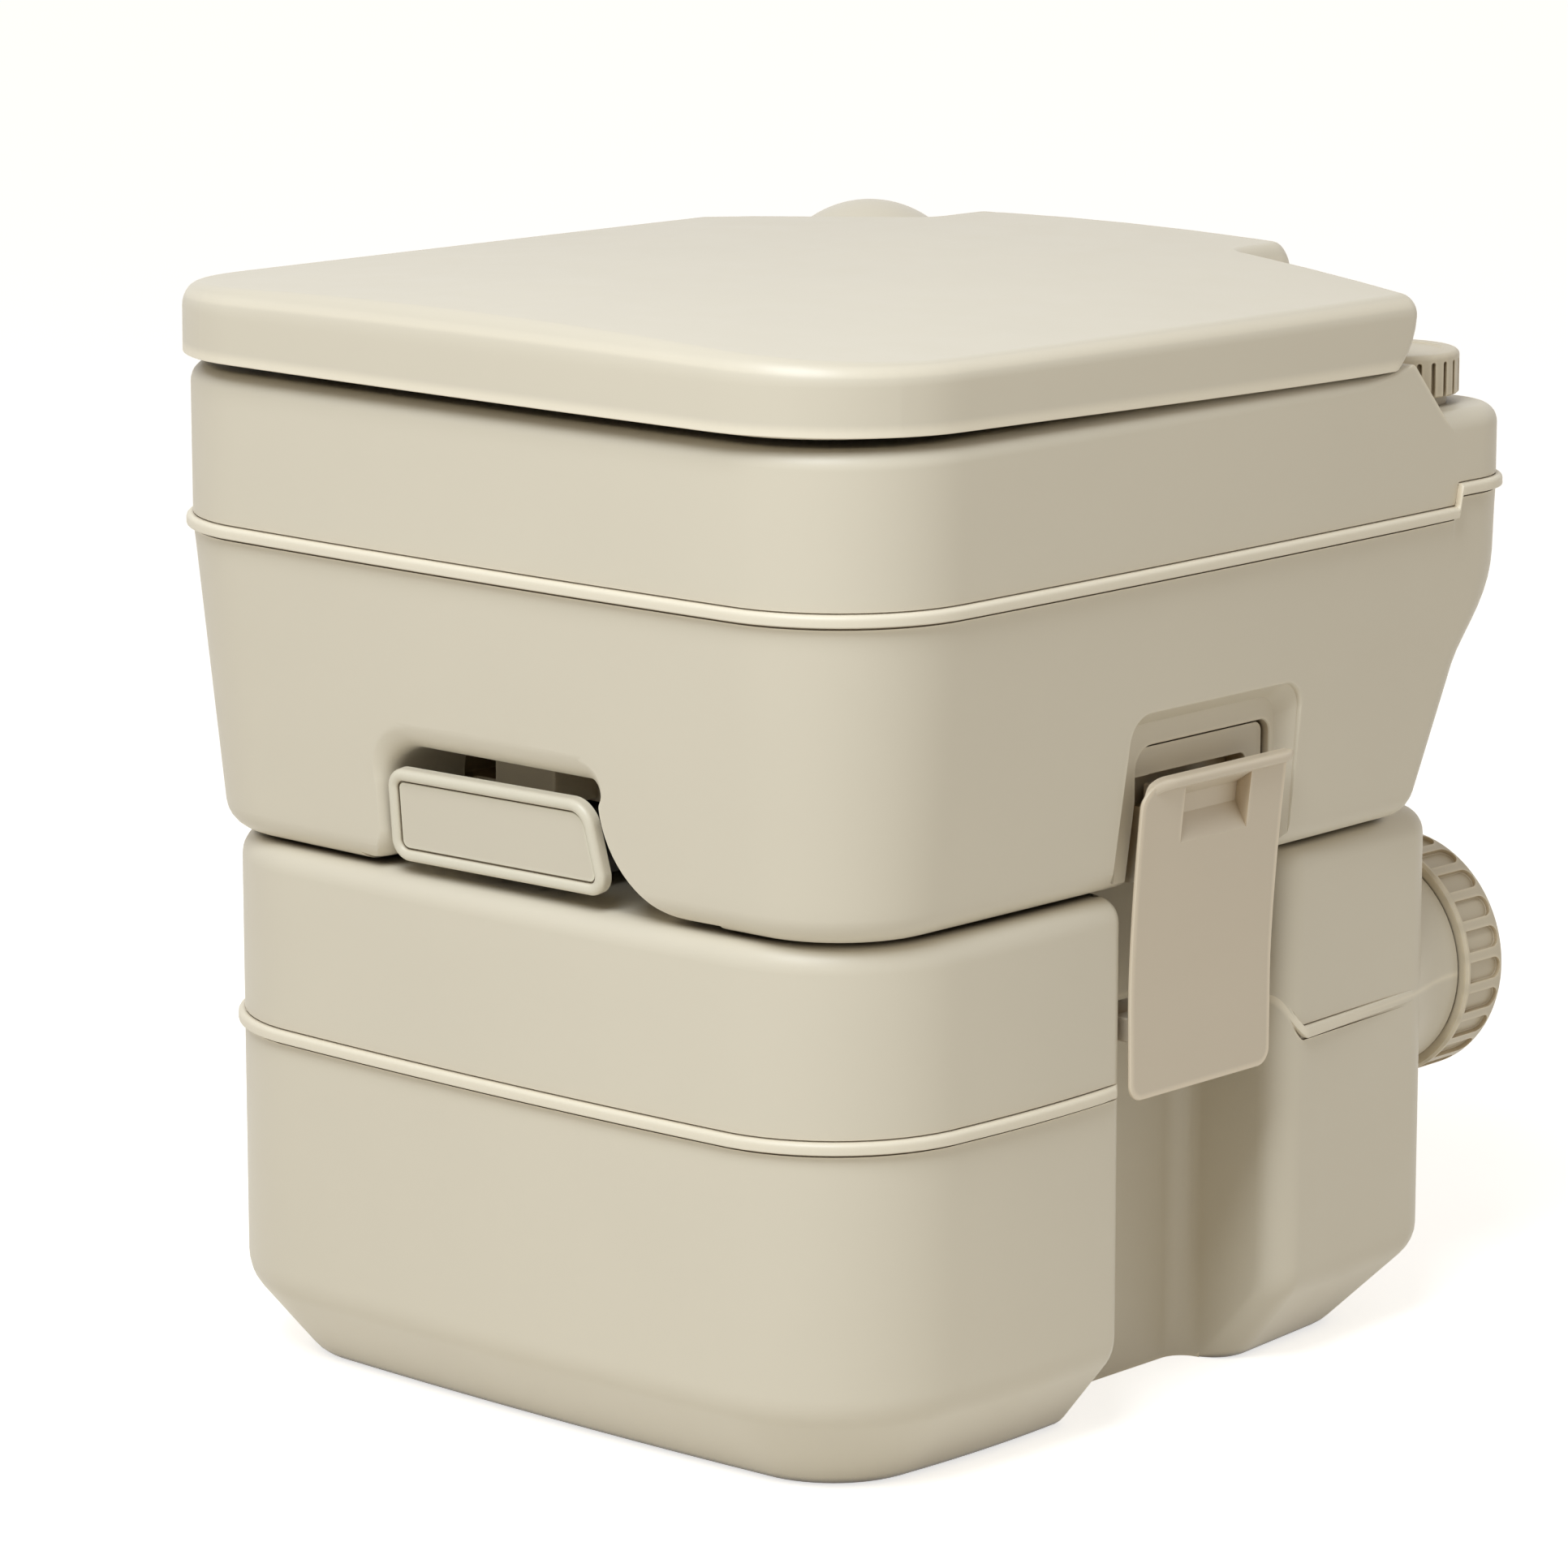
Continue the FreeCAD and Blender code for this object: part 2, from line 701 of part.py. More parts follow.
# Slide valve on top of the waste tank
valve_base = D.tank_height + D.valve_gasket_thickness
blade_floor = valve_base + D.valve_floor
frame_top = blade_floor + D.blade_thickness + D.blade_clearance * 2
cover_top = frame_top + D.valve_cover_thickness
valve_ceiling = cover_top + D.valve_headroom
valve_box = box_corners(-D.valve_half_width, D.valve_half_width, -D.valve_front, D.valve_rear, D.screw_inset)
screw_x = D.valve_half_width - D.screw_inset
screw_places = [
    (x, y) for x in (-screw_x, screw_x) for y in (D.screw_inset - D.valve_front, D.valve_rear - D.screw_inset)
]


def round_pad(body, places, bottom, radius, length):
    """Upright round pegs of one height at several places."""
    sketch = new_sketch(body, "XY_Plane", bottom)
    for x, y in places:
        draw_circle(sketch, x, y, radius)
    return pad(body, sketch, length)


def round_cut(body, places, top, radius, depth):
    """Upright round holes of one depth at several places."""
    sketch = new_sketch(body, "XY_Plane", top)
    for x, y in places:
        draw_circle(sketch, x, y, radius)
    return cut(body, sketch, depth)


valve_centre = [(ZERO, D.valve_y)]
screw_hole = D.screw_radius + D.screw_clearance

body = keep("valve_gasket", new_body("valve_gasket"))
round_pad(body, valve_centre, D.tank_height, D.valve_bore + D.valve_gasket_width, D.valve_gasket_thickness)
round_cut(body, valve_centre, valve_base, D.valve_bore, D.valve_gasket_thickness)

body = keep("valve_frame", new_body("valve_frame"))
pad(body, draw_outline(new_sketch(body, "XY_Plane", valve_base), valve_box), frame_top - valve_base)
slot_half = D.blade_half_width + D.blade_clearance
slot = box_corners(-slot_half, slot_half, -(D.valve_front + OVERCUT), D.blade_rear + D.blade_clearance)
cut(body, draw_outline(new_sketch(body, "XY_Plane", frame_top), slot), frame_top - blade_floor)
round_cut(body, valve_centre, frame_top, D.valve_bore, frame_top - valve_base)
round_cut(body, screw_places, frame_top, screw_hole, frame_top - valve_base)

body = keep("valve_cover", new_body("valve_cover"))
pad(body, draw_outline(new_sketch(body, "XY_Plane", frame_top), valve_box), D.valve_cover_thickness)
seal_radius = D.valve_bore + D.seal_gap + D.seal_width
round_cut(body, valve_centre, cover_top, seal_radius, D.seal_groove)
round_cut(body, valve_centre, cover_top, D.valve_bore, D.valve_cover_thickness)
round_cut(body, screw_places, cover_top, screw_hole, D.valve_cover_thickness)

body = keep("valve_screws", new_body("valve_screws"))
shank_bottom = D.tank_height - D.screw_grip
round_pad(body, screw_places, shank_bottom, D.screw_radius, cover_top - shank_bottom)
round_pad(body, screw_places, cover_top, D.screw_head_radius, D.screw_head_height)
round_cut(waste_top_form, screw_places, D.tank_height, screw_hole, D.screw_grip)

body = keep("outlet_seal", new_body("outlet_seal"))
seal_bottom = cover_top - D.seal_groove
spigot_bottom = valve_ceiling - D.spigot_drop
round_pad(body, valve_centre, seal_bottom, seal_radius, spigot_bottom - seal_bottom)
round_cut(body, valve_centre, spigot_bottom, D.valve_bore + D.seal_gap, spigot_bottom - seal_bottom)

# Blade that closes the outlet, with the flat stem that its handle pulls
body = keep("valve_blade", new_body("valve_blade"))
blade_bottom = blade_floor + D.blade_clearance
blade_top = blade_bottom + D.blade_thickness
blade_front = D.valve_bore + D.blade_margin - D.valve_y
stem_front = D.handle_back - D.stem_gap
blade_plan = mirrored([
    (D.stem_half_width, -stem_front, None),
    (D.stem_half_width, -blade_front, None),
    (D.blade_half_width, -blade_front, None),
    (D.blade_half_width, D.blade_rear, D.blade_corner),
])
pad(body, draw_outline(new_sketch(body, "XY_Plane", blade_bottom), blade_plan), D.blade_thickness)
handle_screw_y = D.boss_length / 2 - D.handle_back
handle_screw_places = [(x, handle_screw_y) for x in (D.boss_half_width / -2, D.boss_half_width / 2)]
round_cut(body, handle_screw_places, blade_top, screw_hole, D.blade_thickness)

# Pull handle: a leaning plate with a raised rim, on a boss that lies on the stem
plate = new_body("handle_plate")
plate_plan = [
    (D.handle_half_width, ZERO, D.handle_corner),
    (D.handle_half_width - D.handle_slant, D.handle_height, D.handle_corner),
    (-D.handle_half_width, D.handle_height, D.handle_corner),
    (-D.handle_half_width, ZERO, D.handle_corner),
]
pad(plate, draw_outline(new_sketch(plate, "XZ_Plane"), plate_plan), D.handle_thickness)
front_y = -D.handle_thickness.value
fillet(plate, D.handle_rim / 2, lambda edge: abs(edge.BoundBox.YMax - front_y) < TOUCH)
panel_half = D.handle_half_width - D.handle_rim
panel_top = D.handle_height - D.handle_rim
panel_corner = D.handle_corner - D.handle_rim / 2
panel_plan = [
    (panel_half, D.handle_rim, panel_corner),
    (panel_half - D.handle_slant, panel_top, panel_corner),
    (-panel_half, panel_top, panel_corner),
    (-panel_half, D.handle_rim, panel_corner),
]
cut(plate, draw_outline(new_sketch(plate, "XZ_Plane", D.handle_thickness), panel_plan), D.handle_panel_depth)
plate.Placement.Rotation = FreeCAD.Rotation(FreeCAD.Vector(1, 0, 0), D.handle_tilt.value)
move(plate, D.handle_shift, -D.handle_back, D.tank_height + D.handle_lift)

boss = new_body("handle_boss")
boss_plan = box_corners(-D.boss_half_width, D.boss_half_width, -(D.handle_back + D.handle_thickness / 2),
                        D.boss_length - D.handle_back)
pad(boss, draw_outline(new_sketch(boss, "XY_Plane", blade_top), boss_plan), D.boss_height)
round_cut(boss, handle_screw_places, blade_top + D.boss_height / 2, screw_hole, D.boss_height / 2)
keep("valve_handle", combine("Fuse", "valve_handle", plate, boss))

body = keep("handle_screws", new_body("handle_screws"))
round_pad(body, handle_screw_places, blade_bottom, D.screw_radius, D.blade_thickness + D.boss_height / 2)
head_bottom = blade_bottom - D.screw_head_height
round_pad(body, handle_screw_places, head_bottom, D.screw_head_radius, D.screw_head_height)


# Flush tank, lower half: a drafted tub with the valve's pocket, the handle recess and the latch catches
def flush_front_part(sketch, grow):
    half = D.flush_half_width + grow
    corner = D.flush_corner + grow
    front = D.flush_front + grow
    return draw_outline(sketch, mirrored([(half, -front, corner), (half, D.seam_step_y, None)]))


def flush_rear_part(sketch, grow):
    half = D.flush_half_width + grow
    corner = D.flush_rear_corner + grow
    return draw_outline(sketch, mirrored([(half, D.seam_step_y, None), (half, D.flush_rear + grow, corner)]))


def flush_tub(sketch, grow, drop):
    half = D.flush_half_width + grow - drop
    return draw_outline(sketch, mirrored([
        (half, -(D.flush_front + grow - drop), D.flush_corner + grow - drop),
        (half, D.flush_rear + grow - drop, D.flush_rear_corner + grow - drop),
    ]))


rear_seam = D.flush_seam + D.seam_step
beyond = D.flush_half_width + D.flush_corner
draft_drop = (D.flush_seam - D.tank_height) * tangent(D.tub_draft)
sole_drop = (D.flush_seam - D.tank_height - D.wall) * tangent(D.tub_draft)


def sweep_cut(body, inset):
    """Cut the rear of the tub to its heel, knee and brow, across its whole width."""
    rise = D.brow_height - D.knee_height
    run = D.flush_rear - D.knee_rear
    profile = [
        (D.heel_rear - inset, D.tank_height - OVERCUT, None),
        (D.flush_rear * 2, D.tank_height - OVERCUT, None),
        (D.flush_rear * 2, D.brow_height + rise, None),
        (D.flush_rear + run - inset, D.brow_height + rise, None),
        (D.knee_rear - inset, D.knee_height, D.rear_sweep),
    ]
    cut(body, draw_outline(new_sketch(body, "YZ_Plane", beyond), profile), beyond * 2)


def handle_recess(body, grow):
    """Recess in the front wall that the valve handle sits in, with a wide bell mouth on its right."""
    bottom = D.tank_height - D.wall
    mouth_z = D.tank_height + D.handle_lift / 2 + grow
    top = D.recess_top + grow
    right = D.recess_right + grow
    left = -(D.recess_left + grow)
    side = D.recess_top - D.tank_height - D.handle_lift / 2 - D.recess_corner
    flare = least(D.recess_flare, side - OVERCUT, D.recess_splay - OVERCUT)
    left_flare = least(D.recess_left_flare, side - OVERCUT, D.recess_left_splay - OVERCUT)
    profile = [
        (D.recess_mouth + grow, bottom, None),
        (D.recess_mouth + grow, mouth_z, None),
        (right, mouth_z, flare - grow),
        (right, top, D.recess_corner + grow),
        (left, top, D.recess_corner + grow),
        (left, mouth_z, left_flare - grow),
        (-(D.recess_left_mouth + grow), mouth_z, None),
        (-(D.recess_left_mouth + grow), bottom, None),
    ]
    start = D.flush_front + D.flush_corner
    sketch = draw_outline(new_sketch(body, "XZ_Plane", start), profile)
    cut(body, sketch, start - D.recess_back + grow)


def valve_pocket(body, grow):
    """Room under the tub for the valve on the waste tank, open to the handle's recess."""
    half = D.valve_half_width + D.valve_room + grow
    front = D.recess_back + OVERCUT + grow
    plan = box_corners(-half, half, -front, D.valve_rear + D.valve_room + grow)
    floor = D.tank_height - OVERCUT
    sketch = draw_outline(new_sketch(body, "XY_Plane", floor), plan)
    cut(body, sketch, valve_ceiling + grow - floor, along=True)


def latch_catch(body, side, grow):
    """Shallow seat for a latch in a side wall, and the deeper pocket that its hook drops into."""
    seat = box_corners(D.catch_front - grow, D.catch_rear + grow, D.tank_height - D.wall * 2,
                       D.catch_top + grow, D.catch_corner + grow)
    seat[0] = seat[0][:2] + (None,)
    seat[1] = seat[1][:2] + (None,)
    pocket = box_corners(D.pocket_front - grow, D.pocket_rear + grow, D.pocket_bottom - grow,
                         D.pocket_top + grow, D.pocket_corner + grow)
    depths = (D.catch_floor_x - grow, D.catch_floor_x - D.pocket_depth - grow)
    for plan, floor in zip((seat, pocket), depths):
        sketch = draw_outline(new_sketch(body, "YZ_Plane", beyond * side), plan)
        cut(body, sketch, beyond - floor, along=side < 0)


outer = new_body("flush_base_form")
pad(outer, flush_tub(new_sketch(outer, "XY_Plane", D.tank_height), ZERO, draft_drop),
    D.flush_seam - D.tank_height, draft=D.tub_draft)
fillet(outer, D.tub_round, lambda edge: level(edge, D.tank_height.value))
sweep_cut(outer, ZERO)
pad(outer, flush_rear_part(new_sketch(outer, "XY_Plane", D.flush_seam), ZERO), D.seam_step)
pad(outer, flush_front_part(new_sketch(outer, "XY_Plane", D.flush_seam), D.bead_out), D.bead_half, back=True)
pad(outer, flush_rear_part(new_sketch(outer, "XY_Plane", rear_seam), D.bead_out), D.bead_half, back=True)

cavity = new_body("flush_base_hollow")
pad(cavity, flush_tub(new_sketch(cavity, "XY_Plane", D.tank_height + D.wall), -D.wall, sole_drop),
    D.flush_seam - D.tank_height - D.wall, draft=D.tub_draft)
sole = D.tank_height + D.wall
fillet(cavity, D.tub_round - D.wall, lambda edge: level(edge, sole.value))
sweep_cut(cavity, D.wall)
pad(cavity, flush_front_part(new_sketch(cavity, "XY_Plane", D.flush_seam), -D.wall), OVERCUT)
pad(cavity, flush_rear_part(new_sketch(cavity, "XY_Plane", D.flush_seam), -D.wall), D.seam_step + OVERCUT)

for body, grow in ((outer, ZERO), (cavity, D.wall)):
    valve_pocket(body, grow)
    handle_recess(body, grow)
    for side in (-1, 1):
        latch_catch(body, side, grow)
round_pad(outer, valve_centre, spigot_bottom, seal_radius, D.spigot_drop + OVERCUT)
outlet_top = valve_ceiling + D.wall
round_cut(outer, valve_centre, outlet_top + OVERCUT, D.valve_bore, outlet_top + OVERCUT - spigot_bottom)
keep("flush_tank_base", combine("Cut", "flush_tank_base", outer, cavity))


# Flush tank, upper half: deck, bowl, rear shelf, fill neck and hinge ears
def bowl_section(body, height, half, front, rear, grow):
    half = half + grow
    corner = least(half, (front + rear) / 2 + grow) - OVERCUT
    corners = mirrored([(half, -(front + grow), corner), (half, rear + grow, corner)])
    return draw_outline(new_sketch(body, "XY_Plane", height), corners)


def bowl_loft(body, grow, kind):
    loft(body, [
        bowl_section(body, D.deck_height, D.bowl_half_width, D.bowl_front, D.bowl_rear, grow),
        bowl_section(body, D.bowl_waist_height, D.bowl_waist_half_width, D.bowl_waist_front,
                     D.bowl_waist_rear, grow),
        bowl_section(body, outlet_top, D.valve_bore, D.valve_bore - D.valve_y + OVERCUT,
                     D.valve_bore + D.valve_y + OVERCUT, grow),
    ], kind)


def shelf_cut(body, inset):
    """Drop the rear of the deck down a slope to the shelf, across the whole width."""
    above = D.deck_height * 2
    profile = [
        (D.deck_end - inset, above, None),
        (D.deck_end - inset, D.deck_height - inset, None),
        (D.shelf_start - inset, D.shelf_height - inset, D.shelf_hollow),
        (D.flush_rear * 2, D.shelf_height - inset, None),
        (D.flush_rear * 2, above, None),
    ]
    cut(body, draw_outline(new_sketch(body, "YZ_Plane", beyond), profile), beyond * 2)


def hub(body, low_x, width, radius):
    """Round hub on the hinge line."""
    sketch = draw_circle(new_sketch(body, "YZ_Plane", low_x), D.hinge_y, D.hinge_z, radius)
    pad(body, sketch, width)


def hinge_bore(body):
    bore = D.hinge_pin_radius + D.pin_fit
    cut(body, draw_circle(new_sketch(body, "YZ_Plane", beyond), D.hinge_y, D.hinge_z, bore), beyond * 2)


fill_centre = [(D.fill_x, D.fill_y)]
pump_centre = [(D.pump_x, D.pump_y)]
outer = new_body("flush_top_form")
pad(outer, flush_front_part(new_sketch(outer, "XY_Plane", D.flush_seam), ZERO), D.deck_height - D.flush_seam)
pad(outer, flush_rear_part(new_sketch(outer, "XY_Plane", rear_seam), ZERO), D.deck_height - rear_seam)
shelf_cut(outer, ZERO)
fillet(outer, D.deck_round, lambda edge: level(edge, D.deck_height.value)
       and edge.BoundBox.YMin < D.deck_end.value - TOUCH)
pad(outer, flush_front_part(new_sketch(outer, "XY_Plane", D.flush_seam), D.bead_out), D.bead_half)
pad(outer, flush_rear_part(new_sketch(outer, "XY_Plane", rear_seam), D.bead_out), D.bead_half)
bowl_loft(outer, D.wall, "PartDesign::AdditiveLoft")
bowl_loft(outer, ZERO, "PartDesign::SubtractiveLoft")
round_pad(outer, fill_centre, D.shelf_height - OVERCUT, D.fill_collar_radius, D.fill_collar_height + OVERCUT)
round_pad(outer, fill_centre, D.shelf_height, D.fill_neck_radius, D.fill_neck_top - D.shelf_height)
round_cut(outer, fill_centre, D.fill_neck_top, D.fill_bore, D.fill_neck_top - D.shelf_height + D.wall * 2)
round_cut(outer, pump_centre, D.shelf_height, D.pump_bore, D.wall * 2)
nozzle_hole = draw_circle(new_sketch(outer, "XZ_Plane", -D.nozzle_tail), ZERO, D.hose_height,
                          D.nozzle_radius + D.pin_fit)
cut(outer, nozzle_hole, D.nozzle_tail, along=True)
for low_x in (D.ear_inner, -(D.ear_inner + D.ear_width)):
    ear = box_corners(D.hinge_y - D.hinge_hub_radius, D.hinge_y + D.hinge_hub_radius,
                      D.shelf_height - OVERCUT, D.hinge_z)
    pad(outer, draw_outline(new_sketch(outer, "YZ_Plane", low_x), ear), D.ear_width)
    hub(outer, low_x, D.ear_width, D.hinge_hub_radius)
hinge_bore(outer)

cavity = new_body("flush_top_hollow")
roof = D.deck_height - D.wall
for part, seam in ((flush_front_part, D.flush_seam), (flush_rear_part, rear_seam)):
    below = seam - OVERCUT
    pad(cavity, part(new_sketch(cavity, "XY_Plane", below), -D.wall), roof - below)
shelf_cut(cavity, D.wall)
bowl_loft(cavity, D.wall, "PartDesign::SubtractiveLoft")
keep("flush_tank_top", combine("Cut", "flush_tank_top", outer, cavity))

# Hinge pins: each runs through an ear, a seat arm and a lid lug
pin_length = D.lug_end + D.hinge_gap - D.ear_inner
for name, low_x in (("right_hinge_pin", D.ear_inner), ("left_hinge_pin", -(D.ear_inner + pin_length))):
    body = keep(name, new_body(name))
    hub(body, low_x, pin_length, D.hinge_pin_radius)

# Seat ring with its two hinge arms, on four rubber pads
body = keep("seat", new_body("seat"))
seat_plan = mirrored([
    (D.seat_half_width, -D.seat_front, D.seat_corner),
    (D.seat_half_width, D.seat_rear, D.seat_rear_corner),
])
pad(body, draw_outline(new_sketch(body, "XY_Plane", D.seat_bottom), seat_plan), D.seat_thickness)
hole_corner = least(D.seat_hole_half_width, (D.seat_hole_front + D.seat_hole_rear) / 2) - OVERCUT
hole_plan = mirrored([
    (D.seat_hole_half_width, -D.seat_hole_front, hole_corner),
    (D.seat_hole_half_width, D.seat_hole_rear, hole_corner),
])
cut(body, draw_outline(new_sketch(body, "XY_Plane", D.seat_top), hole_plan), D.seat_thickness)
fillet(body, D.seat_round, lambda edge: level(edge, D.seat_top.value))
for low_x in (D.arm_x, -(D.arm_x + D.arm_width)):
    arm = box_corners(D.seat_hole_rear + D.arm_half_height, D.hinge_y, D.hinge_z - D.arm_half_height,
                      D.hinge_z + D.arm_half_height)
    pad(body, draw_outline(new_sketch(body, "YZ_Plane", low_x), arm), D.arm_width)
    hub(body, low_x, D.arm_width, D.hinge_hub_radius)
hinge_bore(body)

body = keep("seat_bumpers", new_body("seat_bumpers"))
seat_pads = [(x, y) for x in (-D.bumper_x, D.bumper_x) for y in (-D.bumper_front, D.bumper_rear)]
round_pad(body, seat_pads, D.deck_height, D.bumper_radius, D.bumper_height)


# Lid: a crowned shell whose rear tongue covers the hinge
def lid_plan(sketch, grow):
    tongue = D.tongue_half_width + grow
    half = D.lid_half_width + grow
    return draw_outline(sketch, mirrored([
        (half, -(D.lid_front + grow), D.lid_corner + grow),
        (half, D.lid_rear + grow, D.lid_rear_corner + grow),
        (tongue, D.lid_rear + D.lid_rear_slope + grow, D.tongue_corner - grow),
        (tongue, D.tongue_rear + grow, D.tongue_corner + grow),
    ]))


def crown_cut(body, inset):
    """Trim the top to an arch across the width."""
    arch = (D.lid_half_width * D.lid_half_width + D.lid_crown * D.lid_crown) / (D.lid_crown * 2)
    centre = D.lid_edge_height + D.lid_crown - arch
    sketch = new_sketch(body, "XZ_Plane", D.lid_front * 2)
    draw_outline(sketch, box_corners(-arch * 2, arch * 2, centre - arch * 2, centre + arch * 2))
    draw_circle(sketch, ZERO, centre, arch - inset)
    cut(body, sketch, D.lid_front * 4)


def lean(body):
    """Tip a lid piece up about the hinge line, as it rests on its pads."""
    hinge = FreeCAD.Vector(0, D.hinge_y.value, D.hinge_z.value)
    turn = FreeCAD.Rotation(FreeCAD.Vector(1, 0, 0), -D.lid_tilt.value)
    body.Placement = FreeCAD.Placement(FreeCAD.Vector(0, 0, 0), turn, hinge)


lid_stock = D.lid_edge_height + D.lid_crown * 2 - D.lid_bottom
outer = new_body("lid_form")
pad(outer, lid_plan(new_sketch(outer, "XY_Plane", D.lid_bottom), ZERO), lid_stock)
crown_cut(outer, ZERO)
fillet(outer, D.lid_round, lambda edge: edge.BoundBox.ZMin > D.lid_edge_height.value - TOUCH)
notch_half = D.ear_inner + D.ear_width + D.hinge_gap * 2
notch = box_corners(-notch_half, notch_half, D.lid_bottom - OVERCUT, D.hinge_z + D.lid_notch)
cut(outer, draw_outline(new_sketch(outer, "XZ_Plane", -(D.tongue_rear + OVERCUT)), notch),
    D.lid_wall * 2, along=True)
cavity = new_body("lid_hollow")
pad(cavity, lid_plan(new_sketch(cavity, "XY_Plane", D.lid_bottom - OVERCUT), -D.lid_wall), lid_stock)
crown_cut(cavity, D.lid_wall)
fittings = new_body("lid_fittings")
for low_x in (D.lug_x, -D.lug_end):
    lug = box_corners(D.hinge_y - D.hinge_hub_radius, D.hinge_y + D.hinge_hub_radius, D.hinge_z,
                      D.lid_edge_height + D.lid_wall)
    pad(fittings, draw_outline(new_sketch(fittings, "YZ_Plane", low_x), lug), D.arm_width)
    hub(fittings, low_x, D.arm_width, D.hinge_hub_radius)
hinge_bore(fittings)
lid_pads = [(x, -D.bumper_front) for x in (-D.bumper_x, D.bumper_x)]
lid_pad_reach = D.hinge_y + D.bumper_front + D.bumper_radius
lid_pad_bottom = D.seat_top + D.lid_rest_gap - lid_pad_reach * tangent(D.lid_tilt)
lid_pad_top = lid_pad_bottom + D.bumper_height
round_pad(fittings, lid_pads, lid_pad_top, D.lid_post_radius, D.lid_edge_height - lid_pad_top)
body = keep("lid_bumpers", new_body("lid_bumpers"))
round_pad(body, lid_pads, lid_pad_bottom, D.bumper_radius, D.bumper_height)
for piece in (outer, cavity, fittings, body):
    lean(piece)
keep("lid", combine("Fuse", "lid", combine("Cut", "lid_shell", outer, cavity), fittings))


# Screw caps: turned cups with grip grooves round the rim, each on a flat gasket
def screw_cap(name, radius, bore, skirt, end, grips, grip_radius):
    """Cup about its own Z axis; the gasket's seat, inside the closed end, is at height zero."""
    body = keep(name, new_body(name))
    revolve(body, [
        (ZERO, ZERO, None),
        (bore, ZERO, None),
        (bore, -skirt, None),
        (radius, -skirt, None),
        (radius, end, D.cap_round),
        (ZERO, end, None),
    ])
    groove = draw_circle(new_sketch(body, "XY_Plane", end - D.cap_round), radius, ZERO, grip_radius)
    polar(body, cut(body, groove, skirt + end), grips)
    return body


def washer(name, outer_radius, inner_radius):
    """Flat ring whose upper face is at height zero of its own frame."""
    body = keep(name, new_body(name))
    flat = new_sketch(body, "XY_Plane", -D.gasket_thickness)
    draw_circle(flat, ZERO, ZERO, outer_radius)
    draw_circle(flat, ZERO, ZERO, inner_radius)
    pad(body, flat, D.gasket_thickness)
    return body


backward = FreeCAD.Rotation(FreeCAD.Vector(1, 0, 0), -90)
spout_seat = D.neck_end + D.gasket_thickness
spout_cap = screw_cap("spout_cap", D.spout_cap_radius, D.neck_radius + D.cap_clearance,
                      D.spout_cap_skirt + D.gasket_thickness, D.spout_cap_end, D.spout_grips,
                      D.spout_grip_radius)
spout_gasket = washer("spout_gasket", D.neck_radius, D.neck_bore)
for piece in (spout_cap, spout_gasket):
    piece.Placement.Rotation = backward
    move(piece, D.neck_x, spout_seat, D.tank_seam)

fill_seat = D.fill_neck_top + D.gasket_thickness
fill_cap = screw_cap("fill_cap", D.fill_cap_radius, D.fill_neck_radius + D.cap_clearance,
                     D.fill_cap_skirt + D.gasket_thickness, D.fill_cap_end, D.fill_grips, D.fill_grip_radius)
fill_gasket = washer("fill_gasket", D.fill_neck_radius, D.fill_bore)
for piece in (fill_cap, fill_gasket):
    move(piece, D.fill_x, D.fill_y, fill_seat)

# Bellows flush pump, about its own upright axis with height zero on the shelf
body = keep("pump_body", new_body("pump_body"))
revolve(body, [
    (D.tube_radius + D.pin_fit, -D.pump_depth, None),
    (D.pump_radius, -D.pump_depth, None),
    (D.pump_radius, ZERO, None),
    (D.pump_flange_radius, ZERO, None),
    (D.pump_flange_radius, D.pump_flange, None),
    (D.pump_inner, D.pump_flange, None),
    (D.pump_inner, D.pump_wall - D.pump_depth, None),
    (D.tube_radius + D.pin_fit, D.pump_wall - D.pump_depth, None),
])
outlet_z = D.hose_height - D.shelf_height
outlet_start = D.pump_radius - D.pump_wall / 2
spigot = draw_circle(new_sketch(body, "YZ_Plane", outlet_start), ZERO, outlet_z, D.tube_radius)
pad(body, spigot, D.outlet_length)
cut(body, draw_circle(new_sketch(body, "YZ_Plane", outlet_start + D.outlet_length), ZERO, outlet_z,
                      D.tube_radius - D.tube_wall), D.outlet_length + D.pump_wall)

body = keep("pump_collar", new_body("pump_collar"))
bellows_hole = D.bellows_waist + D.pump_fit
revolve(body, [
    (bellows_hole, D.pump_flange, None),
    (D.collar_radius, D.pump_flange, None),
    (D.collar_radius, D.collar_top, D.pump_flange),
    (bellows_hole, D.collar_top, None),
])

body = keep("pump_bellows", new_body("pump_bellows"))
outside = [(D.bellows_waist, D.pump_flange, None)]
inside = []
for fold in range(int(D.bellows_folds.value)):
    valley = D.collar_top + D.bellows_pitch * fold
    ridge = valley + D.bellows_pitch / 2
    outside += [(D.bellows_waist, valley, D.edge_round), (D.bellows_radius, ridge, D.edge_round)]
    inside += [(D.bellows_waist - D.bellows_wall, valley, D.edge_round),
               (D.bellows_radius - D.bellows_wall, ridge, D.edge_round)]
outside += [(D.bellows_waist, D.bellows_top, None)]
inside += [(D.bellows_waist - D.bellows_wall, D.bellows_top, None)]
revolve(body, outside + inside[::-1] + [(D.bellows_waist - D.bellows_wall, D.pump_flange, None)])

